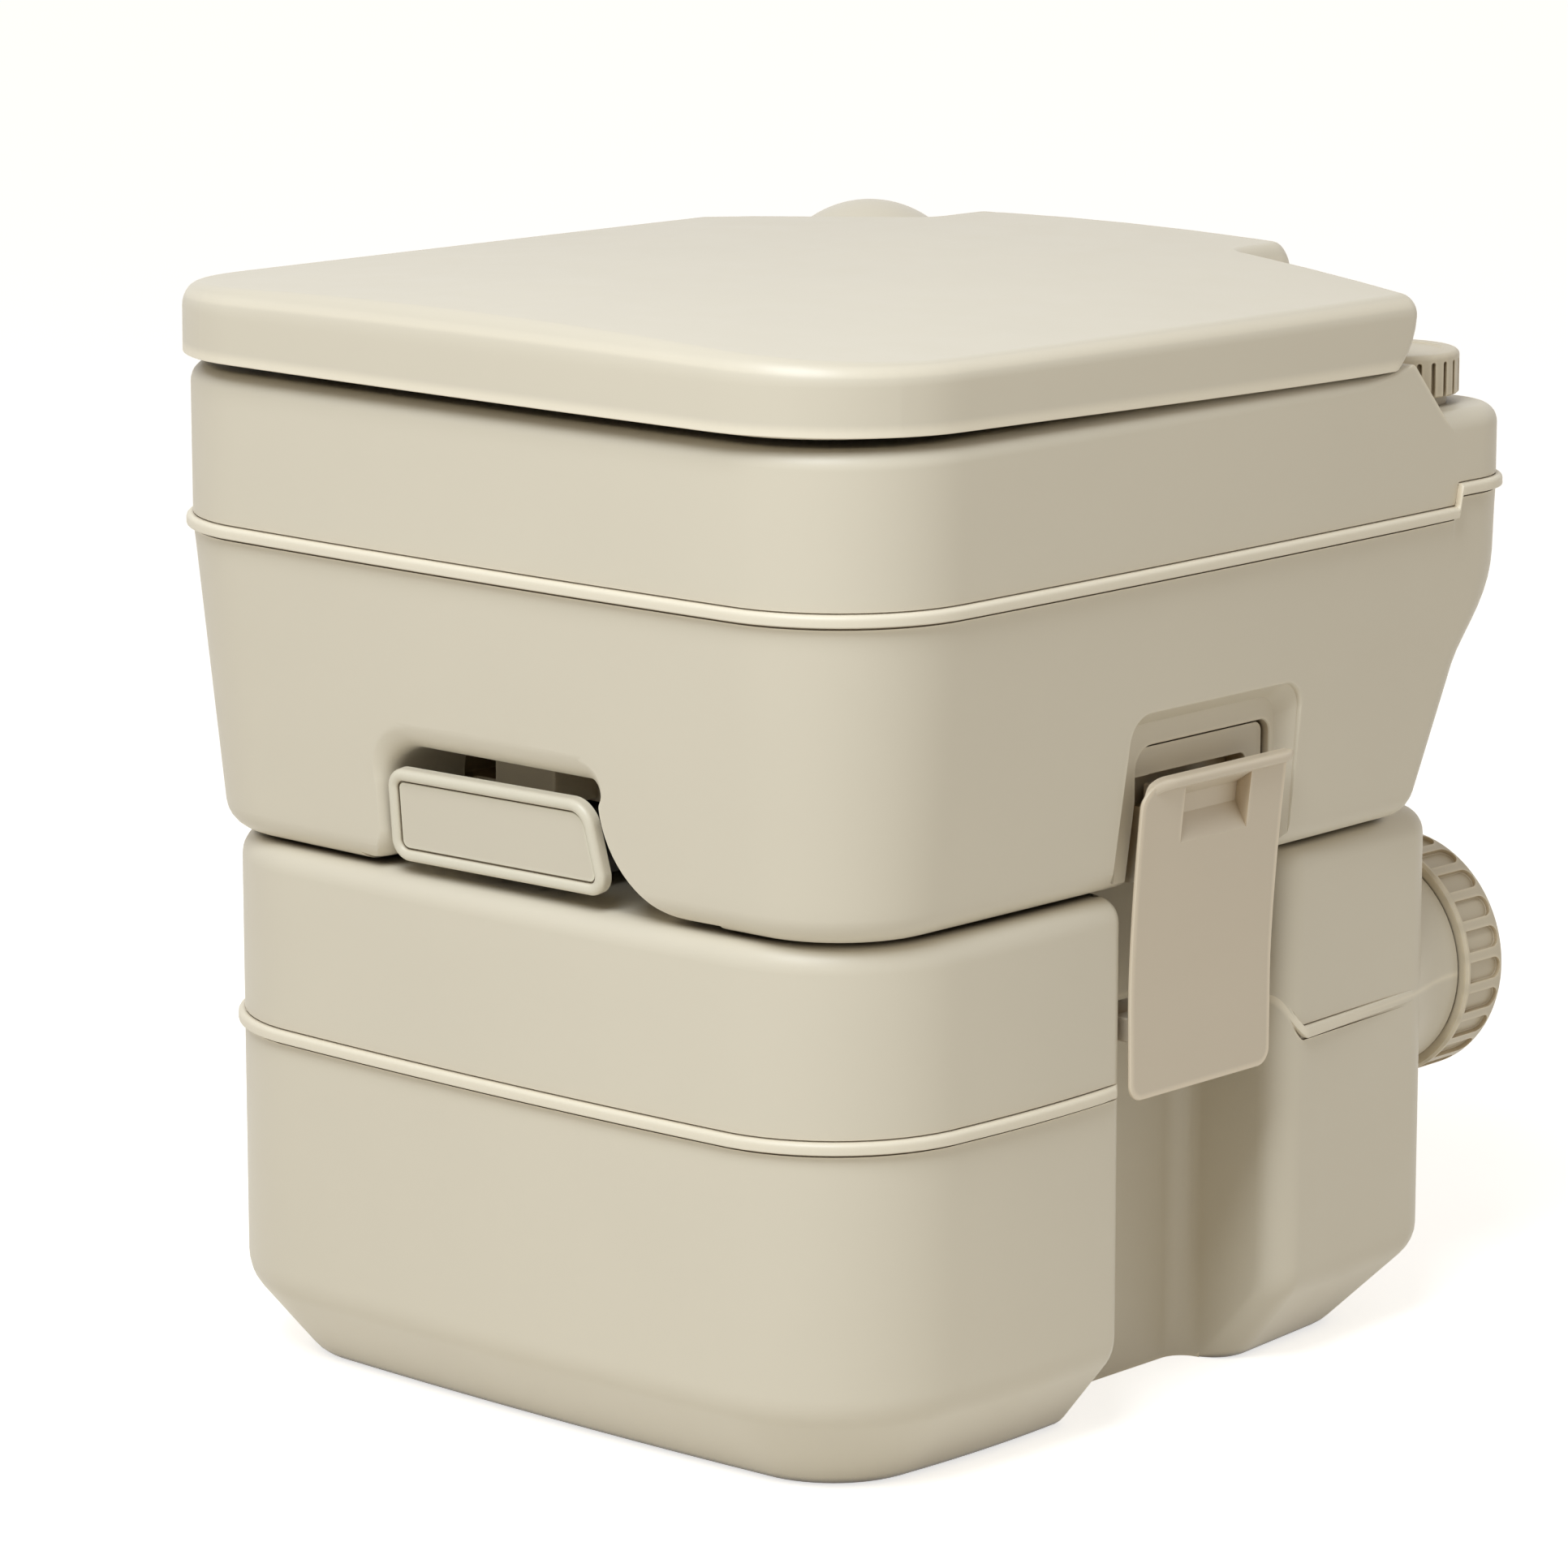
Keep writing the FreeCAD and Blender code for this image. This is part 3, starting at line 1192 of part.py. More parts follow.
knob = new_body("knob_form")
dome_rise = D.knob_dome - root(D.knob_dome * D.knob_dome - D.knob_radius * D.knob_radius)
rim_height = D.knob_height - dome_rise
knob_inner = D.knob_radius - D.pump_wall
revolve(knob, [
    (ZERO, D.bellows_top, None),
    (knob_inner, D.bellows_top, None),
    (knob_inner, rim_height - D.knob_skirt, None),
    (D.knob_radius, rim_height - D.knob_skirt, None),
    (D.knob_radius, D.knob_height, None),
    (ZERO, D.knob_height, None),
])
dome = doc.addObject("Part::Sphere", "knob_dome")
dome.setExpression("Radius", D.knob_dome.text)
move(dome, D.pump_x, D.pump_y, D.shelf_height + D.knob_height - D.knob_dome)
keep("pump_knob", combine("Common", "pump_knob", knob, dome))

body = keep("pump_check_valve", new_body("pump_check_valve"))
round_pad(body, [(ZERO, ZERO)], D.pump_wall - D.pump_depth, D.pump_inner - D.pump_wall, D.check_thickness)

body = keep("pickup_tube", new_body("pickup_tube"))
tube_foot = D.tube_bottom - D.shelf_height
round_pad(body, [(ZERO, ZERO)], tube_foot, D.tube_radius, D.pump_wall - D.pump_depth - tube_foot)
round_cut(body, [(ZERO, ZERO)], D.pump_wall - D.pump_depth, D.tube_radius - D.tube_wall,
          D.pump_wall - D.pump_depth - tube_foot)

pump_names = ("pump_body", "pump_collar", "pump_bellows", "pump_check_valve", "pickup_tube")
for piece in (knob, *(nodes[name] for name in pump_names)):
    move(piece, D.pump_x, D.pump_y, D.shelf_height)

# Flush hose inside the tank, from the pump's outlet to the nozzle in the bowl's rear wall
hose_start = D.pump_x + outlet_start + D.outlet_length
body = keep("flush_hose", new_body("flush_hose"))
path = new_sketch(body, "XY_Plane", D.hose_height)
bend = FreeCAD.Vector(-D.hose_bend.value, D.pump_y.value - D.hose_bend.value, 0)
bend_circle = Part.Circle(bend, FreeCAD.Vector(0, 0, 1), D.hose_bend.value)
bend_entry = FreeCAD.Vector(bend.x, D.pump_y.value, 0)
bend_exit = FreeCAD.Vector(0, bend.y, 0)
run_in = path.addGeometry(Part.LineSegment(FreeCAD.Vector(hose_start.value, D.pump_y.value, 0), bend_entry))
turn = path.addGeometry(Part.ArcOfCircle(bend_circle, 0, math.pi / 2))
run_out = path.addGeometry(Part.LineSegment(bend_exit, FreeCAD.Vector(0, D.nozzle_tail.value, 0)))
path.addConstraint(Sketcher.Constraint("Tangent", run_in, 2, turn, 2))
path.addConstraint(Sketcher.Constraint("Tangent", turn, 1, run_out, 1))
path.addConstraint(Sketcher.Constraint("Horizontal", run_in))
path.addConstraint(Sketcher.Constraint("Vertical", run_out))
bind(path, Sketcher.Constraint("Radius", turn, D.hose_bend.value), D.hose_bend)
place_point(path, run_in, 1, hose_start, D.pump_y)
place_point(path, run_out, 2, ZERO, D.nozzle_tail)
section = new_sketch(body, "YZ_Plane", hose_start)
draw_circle(section, D.pump_y, D.hose_height, D.tube_radius)
draw_circle(section, D.pump_y, D.hose_height, D.tube_radius - D.tube_wall)
pipe = body.newObject("PartDesign::AdditivePipe", "run")
pipe.Profile = section
pipe.Spine = path

# Nozzle that sprays the bowl
body = keep("spray_nozzle", new_body("spray_nozzle"))
nozzle_mouth = D.bowl_waist_rear - D.nozzle_reach
tail = new_sketch(body, "XZ_Plane", -D.nozzle_tail)
draw_circle(tail, ZERO, D.hose_height, D.nozzle_radius)
draw_circle(tail, ZERO, D.hose_height, D.nozzle_bore)
pad(body, tail, D.nozzle_tail - nozzle_mouth)


# Side latches: each plate swings on a pin across the waist and hooks into the flush tank's catch
def side_latch(name, side):
    body = keep(name, new_body(name))
    head = D.latch_head_x
    inner = head - D.latch_thickness
    ledge = D.ledge_height / 2 - D.pin_fit
    shoulder = D.latch_top - D.ledge_height

    def profile(corners, front, rear):
        """Extrude a front-view profile of the right latch between two depths, on this side."""
        flipped = [(x * side, z, radius) for x, z, radius in corners]
        pad(body, draw_outline(new_sketch(body, "XZ_Plane", -rear), flipped), rear - front)

    profile([
        (D.latch_foot_x - D.latch_thickness, D.latch_bottom, None),
        (D.latch_foot_x, D.latch_bottom, None),
        (head, shoulder, None),
        (head + D.ledge_out, shoulder, ledge),
        (head + D.ledge_out, D.latch_top, ledge),
        (inner, D.latch_top, None),
    ], D.latch_front, D.latch_rear)
    fillet(body, D.latch_corner, lambda edge: level(edge, D.latch_bottom.value)
           and edge.BoundBox.YLength < D.latch_thickness.value / 2)
    hub_front = D.latch_front + D.hub_inset
    hub_rear = D.latch_rear - D.hub_inset
    profile(box_corners(D.pin_x, D.latch_foot_x - D.latch_thickness / 2, D.pin_z - D.web_half,
                        D.pin_z + D.web_half), hub_front, hub_rear)
    pad(body, draw_circle(new_sketch(body, "XZ_Plane", -hub_rear), D.pin_x * side, D.pin_z, D.hub_radius),
        hub_rear - hub_front)
    profile([
        (D.hook_tip_x, D.hook_bottom, D.edge_round),
        (inner + OVERCUT, D.hook_bottom - OVERCUT, None),
        (inner + OVERCUT, D.hook_top, None),
        (D.hook_tip_x, D.hook_top - D.edge_round * 2, D.edge_round),
    ], D.latch_front + D.hook_inset, D.latch_rear - D.hook_inset)
    finger_front = (D.latch_front + D.latch_rear - D.finger_width) / 2
    finger_rear = finger_front + D.finger_width
    floor = D.latch_head_x - D.finger_depth
    profile(box_corners(floor - D.finger_wall, inner + OVERCUT, D.finger_bottom - D.finger_wall,
                        D.hook_bottom), finger_front - D.finger_wall, finger_rear + D.finger_wall)
    plan = box_corners(finger_front, finger_rear, D.finger_bottom, D.finger_top, D.finger_corner)
    cut(body, draw_outline(new_sketch(body, "YZ_Plane", beyond * side), plan), beyond - floor, along=side < 0)
    cut(body, draw_circle(new_sketch(body, "XZ_Plane", -D.latch_rear), D.pin_x * side, D.pin_z,
                          D.pin_radius + D.pin_fit), D.latch_rear - D.latch_front, along=True)


for name, side in (("right_latch", 1), ("left_latch", -1)):
    side_latch(name, side)
    body = keep(f"{name}_pin", new_body(f"{name}_pin"))
    pin_rear = D.waist_rear + D.pin_socket - D.pin_end_gap
    pin_front = D.waist_front - D.pin_socket + D.pin_end_gap
    pad(body, draw_circle(new_sketch(body, "XZ_Plane", -pin_rear), D.pin_x * side, D.pin_z, D.pin_radius),
        pin_rear - pin_front)

# Every piece is checked before any file is written
doc.recompute()
failed = [item.Label for item in doc.Objects if "Invalid" in item.State or "Error" in item.State]
failed += [name for name, item in nodes.items() if item.Shape.isNull() or not item.Shape.isValid()]
if failed:
    raise RuntimeError("failed: " + ", ".join(failed))

os.makedirs("parts", exist_ok=True)
for name, item in nodes.items():
    item.Shape.exportStep(f"parts/{name}.step")
    print(f"{name}: {len(item.Shape.Solids)} solids, {item.Shape.Volume / 1000:.1f} cm3")
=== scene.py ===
# Portable camping toilet: a flush tank with bowl, seat and lid, latched on top of a waste holding tank.
# Metres, front towards -Y, +X the side on the right of the picture, +Z up, origin on the floor.
import math

import bmesh
import bpy
from mathutils import Matrix, Vector


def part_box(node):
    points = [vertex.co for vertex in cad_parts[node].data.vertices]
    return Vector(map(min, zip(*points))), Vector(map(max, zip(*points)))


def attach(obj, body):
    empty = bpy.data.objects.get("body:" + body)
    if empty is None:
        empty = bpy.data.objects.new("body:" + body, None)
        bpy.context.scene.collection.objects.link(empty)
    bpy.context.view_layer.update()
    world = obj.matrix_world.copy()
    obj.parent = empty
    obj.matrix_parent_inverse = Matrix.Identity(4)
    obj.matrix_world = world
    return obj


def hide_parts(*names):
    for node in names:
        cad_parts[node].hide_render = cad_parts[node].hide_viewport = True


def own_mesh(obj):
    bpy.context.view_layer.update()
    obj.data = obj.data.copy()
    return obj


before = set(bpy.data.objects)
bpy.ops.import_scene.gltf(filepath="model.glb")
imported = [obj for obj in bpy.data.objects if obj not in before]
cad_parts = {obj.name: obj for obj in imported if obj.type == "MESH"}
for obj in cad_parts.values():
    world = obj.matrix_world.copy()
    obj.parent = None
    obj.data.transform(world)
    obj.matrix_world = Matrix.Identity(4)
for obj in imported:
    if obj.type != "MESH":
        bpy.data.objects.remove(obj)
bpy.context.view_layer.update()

bpy.ops.object.select_all(action="DESELECT")


# Camera
# A long lens stands in front of the right corner, a little above the lid,
# and looks at the middle of the toilet.
IMAGE_PIXELS = 1932
FOCAL_PIXELS = 8227
SENSOR_MM = 36.0
VIEW_TURN = math.radians(42.14)
VIEW_RISE = math.radians(11.72)
VIEW_DISTANCE = 2.499
VIEW_HEIGHT = 0.210
VIEW_SLIDE_RIGHT = -0.0111
VIEW_SLIDE_UP = 0.0043

view_back = Vector((
    math.sin(VIEW_TURN) * math.cos(VIEW_RISE),
    -math.cos(VIEW_TURN) * math.cos(VIEW_RISE),
    math.sin(VIEW_RISE),
))
view_right = Vector((math.cos(VIEW_TURN), math.sin(VIEW_TURN), 0))
view_up = view_back.cross(view_right)
view_place = Vector((0, 0, VIEW_HEIGHT)) + view_back * VIEW_DISTANCE
view_place += view_right * VIEW_SLIDE_RIGHT + view_up * VIEW_SLIDE_UP
bpy.ops.object.camera_add(location=view_place)
camera = bpy.context.object
view_axes = Matrix((view_right, view_up, view_back)).transposed()
camera.matrix_world = Matrix.Translation(view_place) @ view_axes.to_4x4()
camera.data.sensor_width = SENSOR_MM
camera.data.lens = SENSOR_MM * FOCAL_PIXELS / IMAGE_PIXELS
bpy.context.scene.camera = camera


# Studio
# A pale floor that runs out of sight, a large soft lamp above the front corner, a weak one on the left
# and a white world. Seen straight or in a reflection, the surroundings are white.
FLOOR_SIZE = 30.0
FLOOR_COLOUR = (0.80, 0.775, 0.72, 1)
FLOOR_GLOW = 0.68
BACKDROP_WHITE = (1, 1, 0.99, 1)
WORLD_COLOUR = (1.0, 0.94, 0.86, 1)
WORLD_STRENGTH = 0.44
KEY_PLACE = (0.50, -1.20, 1.85)
KEY_SIZE = 1.1
KEY_WATTS = 31.0
FILL_PLACE = (-1.6, -1.2, 1.6)
FILL_SIZE = 1.6
FILL_WATTS = 2.0
LAMP_COLOUR = (0.85, 0.92, 1.0)
STUDIO_TARGET = Vector((0, 0, 0.22))

bpy.context.scene.view_settings.view_transform = "Standard"


def add_node(tree, kind, values, **settings):
    """A shader node with its settings, and a number, colour or link on each input that is named."""
    node = tree.nodes.new("ShaderNode" + kind)
    for setting, value in settings.items():
        setattr(node, setting, value)
    for socket, value in values.items():
        if isinstance(value, bpy.types.NodeSocket):
            tree.links.new(value, node.inputs[socket])
        else:
            node.inputs[socket].default_value = value
    return node


def seen_directly(tree):
    """One where a ray comes from the camera, a mirror or clear plastic, and nought for light."""
    rays = add_node(tree, "LightPath", {}).outputs
    straight = {0: rays["Is Camera Ray"], 1: rays["Is Glossy Ray"]}
    glossy = add_node(tree, "Math", straight, operation="MAXIMUM").outputs[0]
    through = {0: glossy, 1: rays["Is Transmission Ray"]}
    return add_node(tree, "Math", through, operation="MAXIMUM").outputs[0]


world = bpy.data.worlds.new("studio")
world.use_nodes = True
bpy.context.scene.world = world
sky = world.node_tree
sky.nodes.clear()
sky_light = add_node(sky, "Background", {"Color": WORLD_COLOUR, "Strength": WORLD_STRENGTH}).outputs[0]
sky_white = add_node(sky, "Background", {"Color": BACKDROP_WHITE}).outputs[0]
sky_mix = add_node(sky, "MixShader", {0: seen_directly(sky), 1: sky_light, 2: sky_white})
add_node(sky, "OutputWorld", {"Surface": sky_mix.outputs[0]})

bpy.ops.mesh.primitive_plane_add(size=FLOOR_SIZE)
floor = bpy.context.object
floor.name = "studio_floor"
floor_finish = bpy.data.materials.new("pale_floor")
floor_finish.use_nodes = True
floor_tree = floor_finish.node_tree
floor_tree.nodes.clear()
floor_paint = add_node(floor_tree, "BsdfDiffuse", {"Color": FLOOR_COLOUR}).outputs[0]
floor_glow = add_node(floor_tree, "Emission", {"Strength": FLOOR_GLOW}).outputs[0]
floor_bright = add_node(floor_tree, "AddShader", {0: floor_paint, 1: floor_glow}).outputs[0]
floor_seen = seen_directly(floor_tree)
floor_mix = add_node(floor_tree, "MixShader", {0: floor_seen, 1: floor_paint, 2: floor_bright})
add_node(floor_tree, "OutputMaterial", {"Surface": floor_mix.outputs[0]})
floor.data.materials.append(floor_finish)

for lamp_name, lamp_place, lamp_size, lamp_watts in (
    ("key_lamp", KEY_PLACE, KEY_SIZE, KEY_WATTS),
    ("fill_lamp", FILL_PLACE, FILL_SIZE, FILL_WATTS),
):
    lamp_aim = (STUDIO_TARGET - Vector(lamp_place)).to_track_quat("-Z", "Y").to_euler()
    bpy.ops.object.light_add(type="AREA", location=lamp_place, rotation=lamp_aim)
    lamp = bpy.context.object
    lamp.name = lamp_name
    lamp.data.shape = "DISK"
    lamp.data.size = lamp_size
    lamp.data.energy = lamp_watts
    lamp.data.color = LAMP_COLOUR


# Waste holding tank, lower and upper halves
# Two blow-moulded halves of ivory polyethylene, welded at a beaded seam. Each side is drawn in to a waist
# for the latch, the foot is chamfered, and a round pour-out neck stands out at the rear.
IVORY = (0.695, 0.632, 0.503)
TANK_ROUGHNESS = 0.44
CLOUD_SHARE = 0.025
CLOUD_SCALE = 14
CLOUD_DETAIL = 5
GLOSS_SPREAD = 0.05
GLOSS_SCALE = 55
GLOSS_DETAIL = 4
PORE_DEPTH = 0.00004
PORE_SCALE = 1600
PORE_DETAIL = 2
PORE_STRENGTH = 0.35
# Painted highlight: convex edges are painted paler within this reach, standing in for the highlights along
# them.
EDGE_HIGHLIGHT_REACH = 0.0026
EDGE_HIGHLIGHT_RANGE = (0.85, 0.45)
EDGE_HIGHLIGHT_SHARE = 0.75
EDGE_HIGHLIGHT_GAIN = 1.32
EDGE_HIGHLIGHT_LIMIT = 0.93
# Painted shade: hollows within this reach are painted darker and warmer, standing in for the shade that
# falls in them.
PAINTED_SHADE_REACH = 0.030
PAINTED_SHADE_RANGE = (0.18, 0.66)
PAINTED_SHADE_TINT = (0.60, 0.48, 0.32)
# Painted shade: narrow gaps and creases are painted nearly black, standing in for the shade in them.
GAP_SHADE_REACH = 0.006
GAP_SHADE_RANGE = (0.08, 0.48)
GAP_SHADE_TINT = (0.10, 0.075, 0.05)
NEARNESS_SAMPLES = 6
FULL_LIGHT = (1, 1, 1)
SHADING_WEIGHT = 70
MITRE_LIMIT = 0.3
SAME_HEIGHT = 0.00002
MERGE_REACH = 0.000005
ARC_STEP = math.radians(6)
BOW_STEPS = 10
TANK_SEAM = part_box("waste_tank_base")[1].z
TANK_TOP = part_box("waste_tank_top")[1].z
TANK_HALF = 0.169
TANK_FRONT = -0.172
TANK_REAR = 0.180
TANK_CORNER = 0.061
TANK_SIDE_BOW = 0.0015
TANK_FRONT_BOW = 0.0025
TANK_SHOULDER = 0.010
TANK_BASE_ROWS = 6
TANK_TOP_ROWS = 5
BEAD_OUT = 0.0025
BEAD_HALF = 0.0022
BEAD_EDGE = 0.0006
BEAD_FLAT = 0.0004
BEAD_GROOVE = 0.0009
BEAD_GROOVE_LOW = 0.0011
BEAD_GROOVE_HIGH = 0.0005
BEAD_SHOULDER = 0.0005
WAIST_HALF = 0.117
WAIST_FRONT = -0.0214
WAIST_REAR = 0.076
WAIST_HOLLOW = 0.010
WAIST_EDGE = 0.007
WAIST_NEAR = 0.001
REAR_HALF = 0.165
REAR_END_HALF = 0.158
REAR_EDGE = 0.012
REAR_CORNER = 0.020
FOOT_INSET = 0.026
FOOT_RISE = 0.032
FOOT_CORNER = 0.036
FOOT_SOFT = 0.007
FOOT_BEND_HIGH = (0.15, 0.85)
FOOT_BEND_LOW = (0.88, 0.12)
FOOT_REACH = 1.14
SEAM_RISE = 0.015
SEAM_RISE_START = 0.089
SEAM_RISE_END = 0.0765
SEAM_RISE_REACH = 0.030
BEAD_END = 0.160
BEAD_END_RUN = 0.010
BEAD_FADE_FRONT = (0.002, 0.010)
BEAD_FADE_REAR = (0.006, 0.012)
NECK_X = 0.108
NECK_RADIUS = 0.036
NECK_WIDE = 0.0432
NECK_SHOULDER = 0.2026
NECK_FLARE = 0.0078
NECK_FLARE_Y = (0.158, 0.197)
NECK_ROWS = 12
NECK_POINTS = 72
NECK_EDGE = 0.001
NECK_EDGE_IN = 0.0006
NECK_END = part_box("waste_tank_base")[1].y
NECK_ROOT = 0.150
SHELL_WALL = 0.004
SHELL_DEPTH = 0.040


def full_corner(corner):
    """A corner's x, y, radius and the bow of the side after it, the last two nought where not given."""
    return (*corner, 0, 0)[:4]


def outline(corners):
    """Points round a plan. A corner is x, y, its radius, and how far the side that follows it bows out."""
    corners = [full_corner(corner) for corner in corners]
    places = [Vector(corner[:2]) for corner in corners]
    count = len(corners)
    arcs = []
    for i, (_, _, radius, _) in enumerate(corners):
        back = (places[i - 1] - places[i]).normalized()
        ahead = (places[(i + 1) % count] - places[i]).normalized()
        if not radius:
            arcs.append([places[i]])
            continue
        half_angle = back.angle(ahead) / 2
        middle = places[i] + (back + ahead).normalized() * radius / math.sin(half_angle)
        start = places[i] + back * radius / math.tan(half_angle) - middle
        end = places[i] + ahead * radius / math.tan(half_angle) - middle
        first = math.atan2(start.y, start.x)
        sweep = (math.atan2(end.y, end.x) - first + math.pi) % (2 * math.pi) - math.pi
        steps = max(3, round(abs(sweep) / ARC_STEP))
        turns = [first + sweep * k / steps for k in range(steps + 1)]
        arcs.append([middle + Vector((math.cos(turn), math.sin(turn))) * radius for turn in turns])
    points = []
    for i, (_, _, _, bow) in enumerate(corners):
        points += arcs[i]
        ahead = arcs[(i + 1) % count][0] - arcs[i][-1]
        outward = Vector((ahead.y, -ahead.x)).normalized()
        if bow:
            shares = [k / BOW_STEPS for k in range(1, BOW_STEPS)]
            points += [arcs[i][-1] + ahead * t + outward * bow * 4 * t * (1 - t) for t in shares]
    return points


def mirrored(right, front_bow=0):
    """A plan's corners down the right side and up the left, and how far its front bows out."""
    right = [full_corner(corner) for corner in right]
    left = [(-x, y, radius, right[i - 1][3]) for i, (x, y, radius, _) in enumerate(right)]
    left[0] = (*left[0][:3], front_bow)
    return right + left[::-1]


def grown(points, out):
    """A plan with its edge moved out, or in where out is negative."""
    moved = []
    for i, point in enumerate(points):
        before = (point - points[i - 1]).normalized()
        after = (points[(i + 1) % len(points)] - point).normalized()
        normal = Vector((before.y + after.y, -before.x - after.x)).normalized()
        moved.append(point + normal * out / max(MITRE_LIMIT, normal.dot(Vector((after.y, -after.x)))))
    return moved


def between(first, last, share):
    """A plan part of the way from one plan to another with the same corners."""
    return [a.lerp(b, share) if share <= 1 else a + (b - a) * share for a, b in zip(first, last)]


def round_plan(radius, points, x=0, y=0):
    """Points round a circle."""
    turns = [2 * math.pi * k / points for k in range(points)]
    return [Vector((x + radius * math.cos(turn), y + radius * math.sin(turn))) for turn in turns]


def start_plan(name, points, height):
    """A flat plan in edit mode, whose points keep their order when it is extruded."""
    bpy.ops.mesh.primitive_circle_add(vertices=len(points), fill_type="NGON")
    piece = bpy.context.object
    piece.name = name
    piece.data.name = name
    bpy.ops.object.mode_set(mode="EDIT")
    plan = bmesh.from_edit_mesh(piece.data)
    order = plan.verts.layers.int.new("order")
    plan.verts.ensure_lookup_table()
    for i, point in enumerate(points):
        plan.verts[i].co = (point.x, point.y, height)
        plan.verts[i][order] = i
    bmesh.update_edit_mesh(piece.data)
    bpy.ops.mesh.select_all(action="SELECT")
    return piece


def raise_wall(piece, rings):
    """Extrude the picked end face through rings, each a plan and its height."""
    for points, height in rings:
        bpy.ops.mesh.extrude_region_move()
        form = bmesh.from_edit_mesh(piece.data)
        order = form.verts.layers.int["order"]
        for vert in form.verts:
            if vert.select:
                point = points[vert[order]]
                vert.co = (point.x, point.y, height)
        bmesh.update_edit_mesh(piece.data)


def bend_in(out, height, run, rise, steps=6):
    """Steps of a quarter round that leaves along the wall and ends across it."""
    turns = [math.pi / 2 * k / steps for k in range(1, steps + 1)]
    return [(out + run * (1 - math.cos(turn)), height + rise * math.sin(turn)) for turn in turns]


def bend_out(out, height, run, rise, steps=5):
    """Steps of a quarter round that leaves across the wall and ends along it."""
    turns = [math.pi / 2 * k / steps for k in range(1, steps + 1)]
    return [(out + run * math.sin(turn), height + rise * (1 - math.cos(turn))) for turn in turns]


def walls(points, steps):
    """Rings of one plan through steps of how far out and how high."""
    return [(grown(points, out), height) for out, height in steps]


def rows(low, high, count):
    """Places that divide a run into equal rows, both ends among them."""
    return [low + (high - low) * k / count for k in range(count + 1)]


def soft_corner(before, corner, after, steps=4):
    """Points of a smooth bend between two places, drawn towards a corner."""
    shares = [k / steps for k in range(steps + 1)]
    return [
        tuple(a * (1 - t) ** 2 + 2 * c * t * (1 - t) + b * t ** 2 for a, c, b in zip(before, corner, after))
        for t in shares
    ]


def smooth_step(low, high, value):
    """Nought below one limit, one above the other, and a smooth change between."""
    share = min(1, max(0, (value - low) / (high - low)))
    return share * share * (3 - 2 * share)


def pick_end(piece, height):
    """Select the flat end face at a height."""
    bpy.ops.mesh.select_mode(type="FACE")
    bpy.ops.mesh.select_all(action="DESELECT")
    form = bmesh.from_edit_mesh(piece.data)
    for face in form.faces:
        face.select_set(all(abs(vert.co.z - height) < SAME_HEIGHT for vert in face.verts))
    bmesh.update_edit_mesh(piece.data)


def to_object(piece):
    """Leave edit mode with the piece's points merged and its faces turned outwards."""
    bpy.ops.mesh.select_mode(type="VERT")
    bpy.ops.mesh.select_all(action="SELECT")
    bpy.ops.mesh.remove_doubles(threshold=MERGE_REACH)
    bpy.ops.mesh.normals_make_consistent(inside=False)
    bpy.ops.object.mode_set(mode="OBJECT")
    return piece


def raised(name, rings):
    """A closed form drawn up through rings, each a plan and its height."""
    piece = start_plan(name, *rings[0])
    raise_wall(piece, rings[1:])
    return to_object(piece)


def slice_rows(piece, axis, places):
    """Cut a piece's faces into rows at places along an axis."""
    bpy.context.view_layer.objects.active = piece
    bpy.ops.object.mode_set(mode="EDIT")
    for place in places:
        bpy.ops.mesh.select_all(action="SELECT")
        normal = [0, 0, 0]
        normal[axis] = 1
        bpy.ops.mesh.bisect(plane_co=[place * n for n in normal], plane_no=normal)
    to_object(piece)


def combine(piece, tool, operation="DIFFERENCE"):
    """Cut a tool from a piece, or weld it on, and remove the tool."""
    bpy.ops.object.select_all(action="DESELECT")
    bpy.context.view_layer.objects.active = piece
    modifier = piece.modifiers.new("joint", "BOOLEAN")
    modifier.operation = operation
    modifier.solver = "EXACT"
    modifier.object = tool
    bpy.ops.object.modifier_apply(modifier=modifier.name)
    bpy.data.objects.remove(tool)


def shape(piece, rule):
    """Move every point of a piece by a rule."""
    for vert in piece.data.vertices:
        vert.co = rule(vert.co.copy())


def mirror_copy(piece, name):
    """The same piece for the left side, with a mesh of its own."""
    copy = bpy.data.objects.new(name, piece.data.copy())
    copy.data.name = name
    bpy.context.scene.collection.objects.link(copy)
    copy.data.transform(Matrix.Diagonal((-1, 1, 1, 1)))
    copy.data.flip_normals()
    return copy


def block(name, low, high, edge=0, segments=3):
    """A box between two corners with its edges rounded."""
    size = [b - a for a, b in zip(low, high)]
    bpy.ops.mesh.primitive_cube_add(size=1, location=[(a + b) / 2 for a, b in zip(low, high)], scale=size)
    piece = bpy.context.object
    piece.name = name
    bpy.ops.object.transform_apply()
    bpy.ops.object.mode_set(mode="EDIT")
    bpy.ops.mesh.select_all(action="SELECT")
    if edge:
        bpy.ops.mesh.bevel(offset=edge, segments=segments, affect="EDGES")
    return to_object(piece)


def finish_piece(piece, finish, body, nodes, smooth=35):
    """Smooth shading, finish, and the body that a piece rides on."""
    bpy.ops.object.select_all(action="DESELECT")
    piece.select_set(True)
    bpy.context.view_layer.objects.active = piece
    order = piece.data.attributes.get("order")
    if order:
        piece.data.attributes.remove(order)
    bpy.ops.object.shade_smooth_by_angle(angle=math.radians(smooth))
    modifier = piece.modifiers.new("even_shading", "WEIGHTED_NORMAL")
    modifier.keep_sharp = True
    modifier.weight = SHADING_WEIGHT
    bpy.ops.object.modifier_apply(modifier=modifier.name)
    piece.data.materials.clear()
    piece.data.materials.append(finish)
    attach(piece, body)
    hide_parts(*nodes)
    piece.select_set(False)


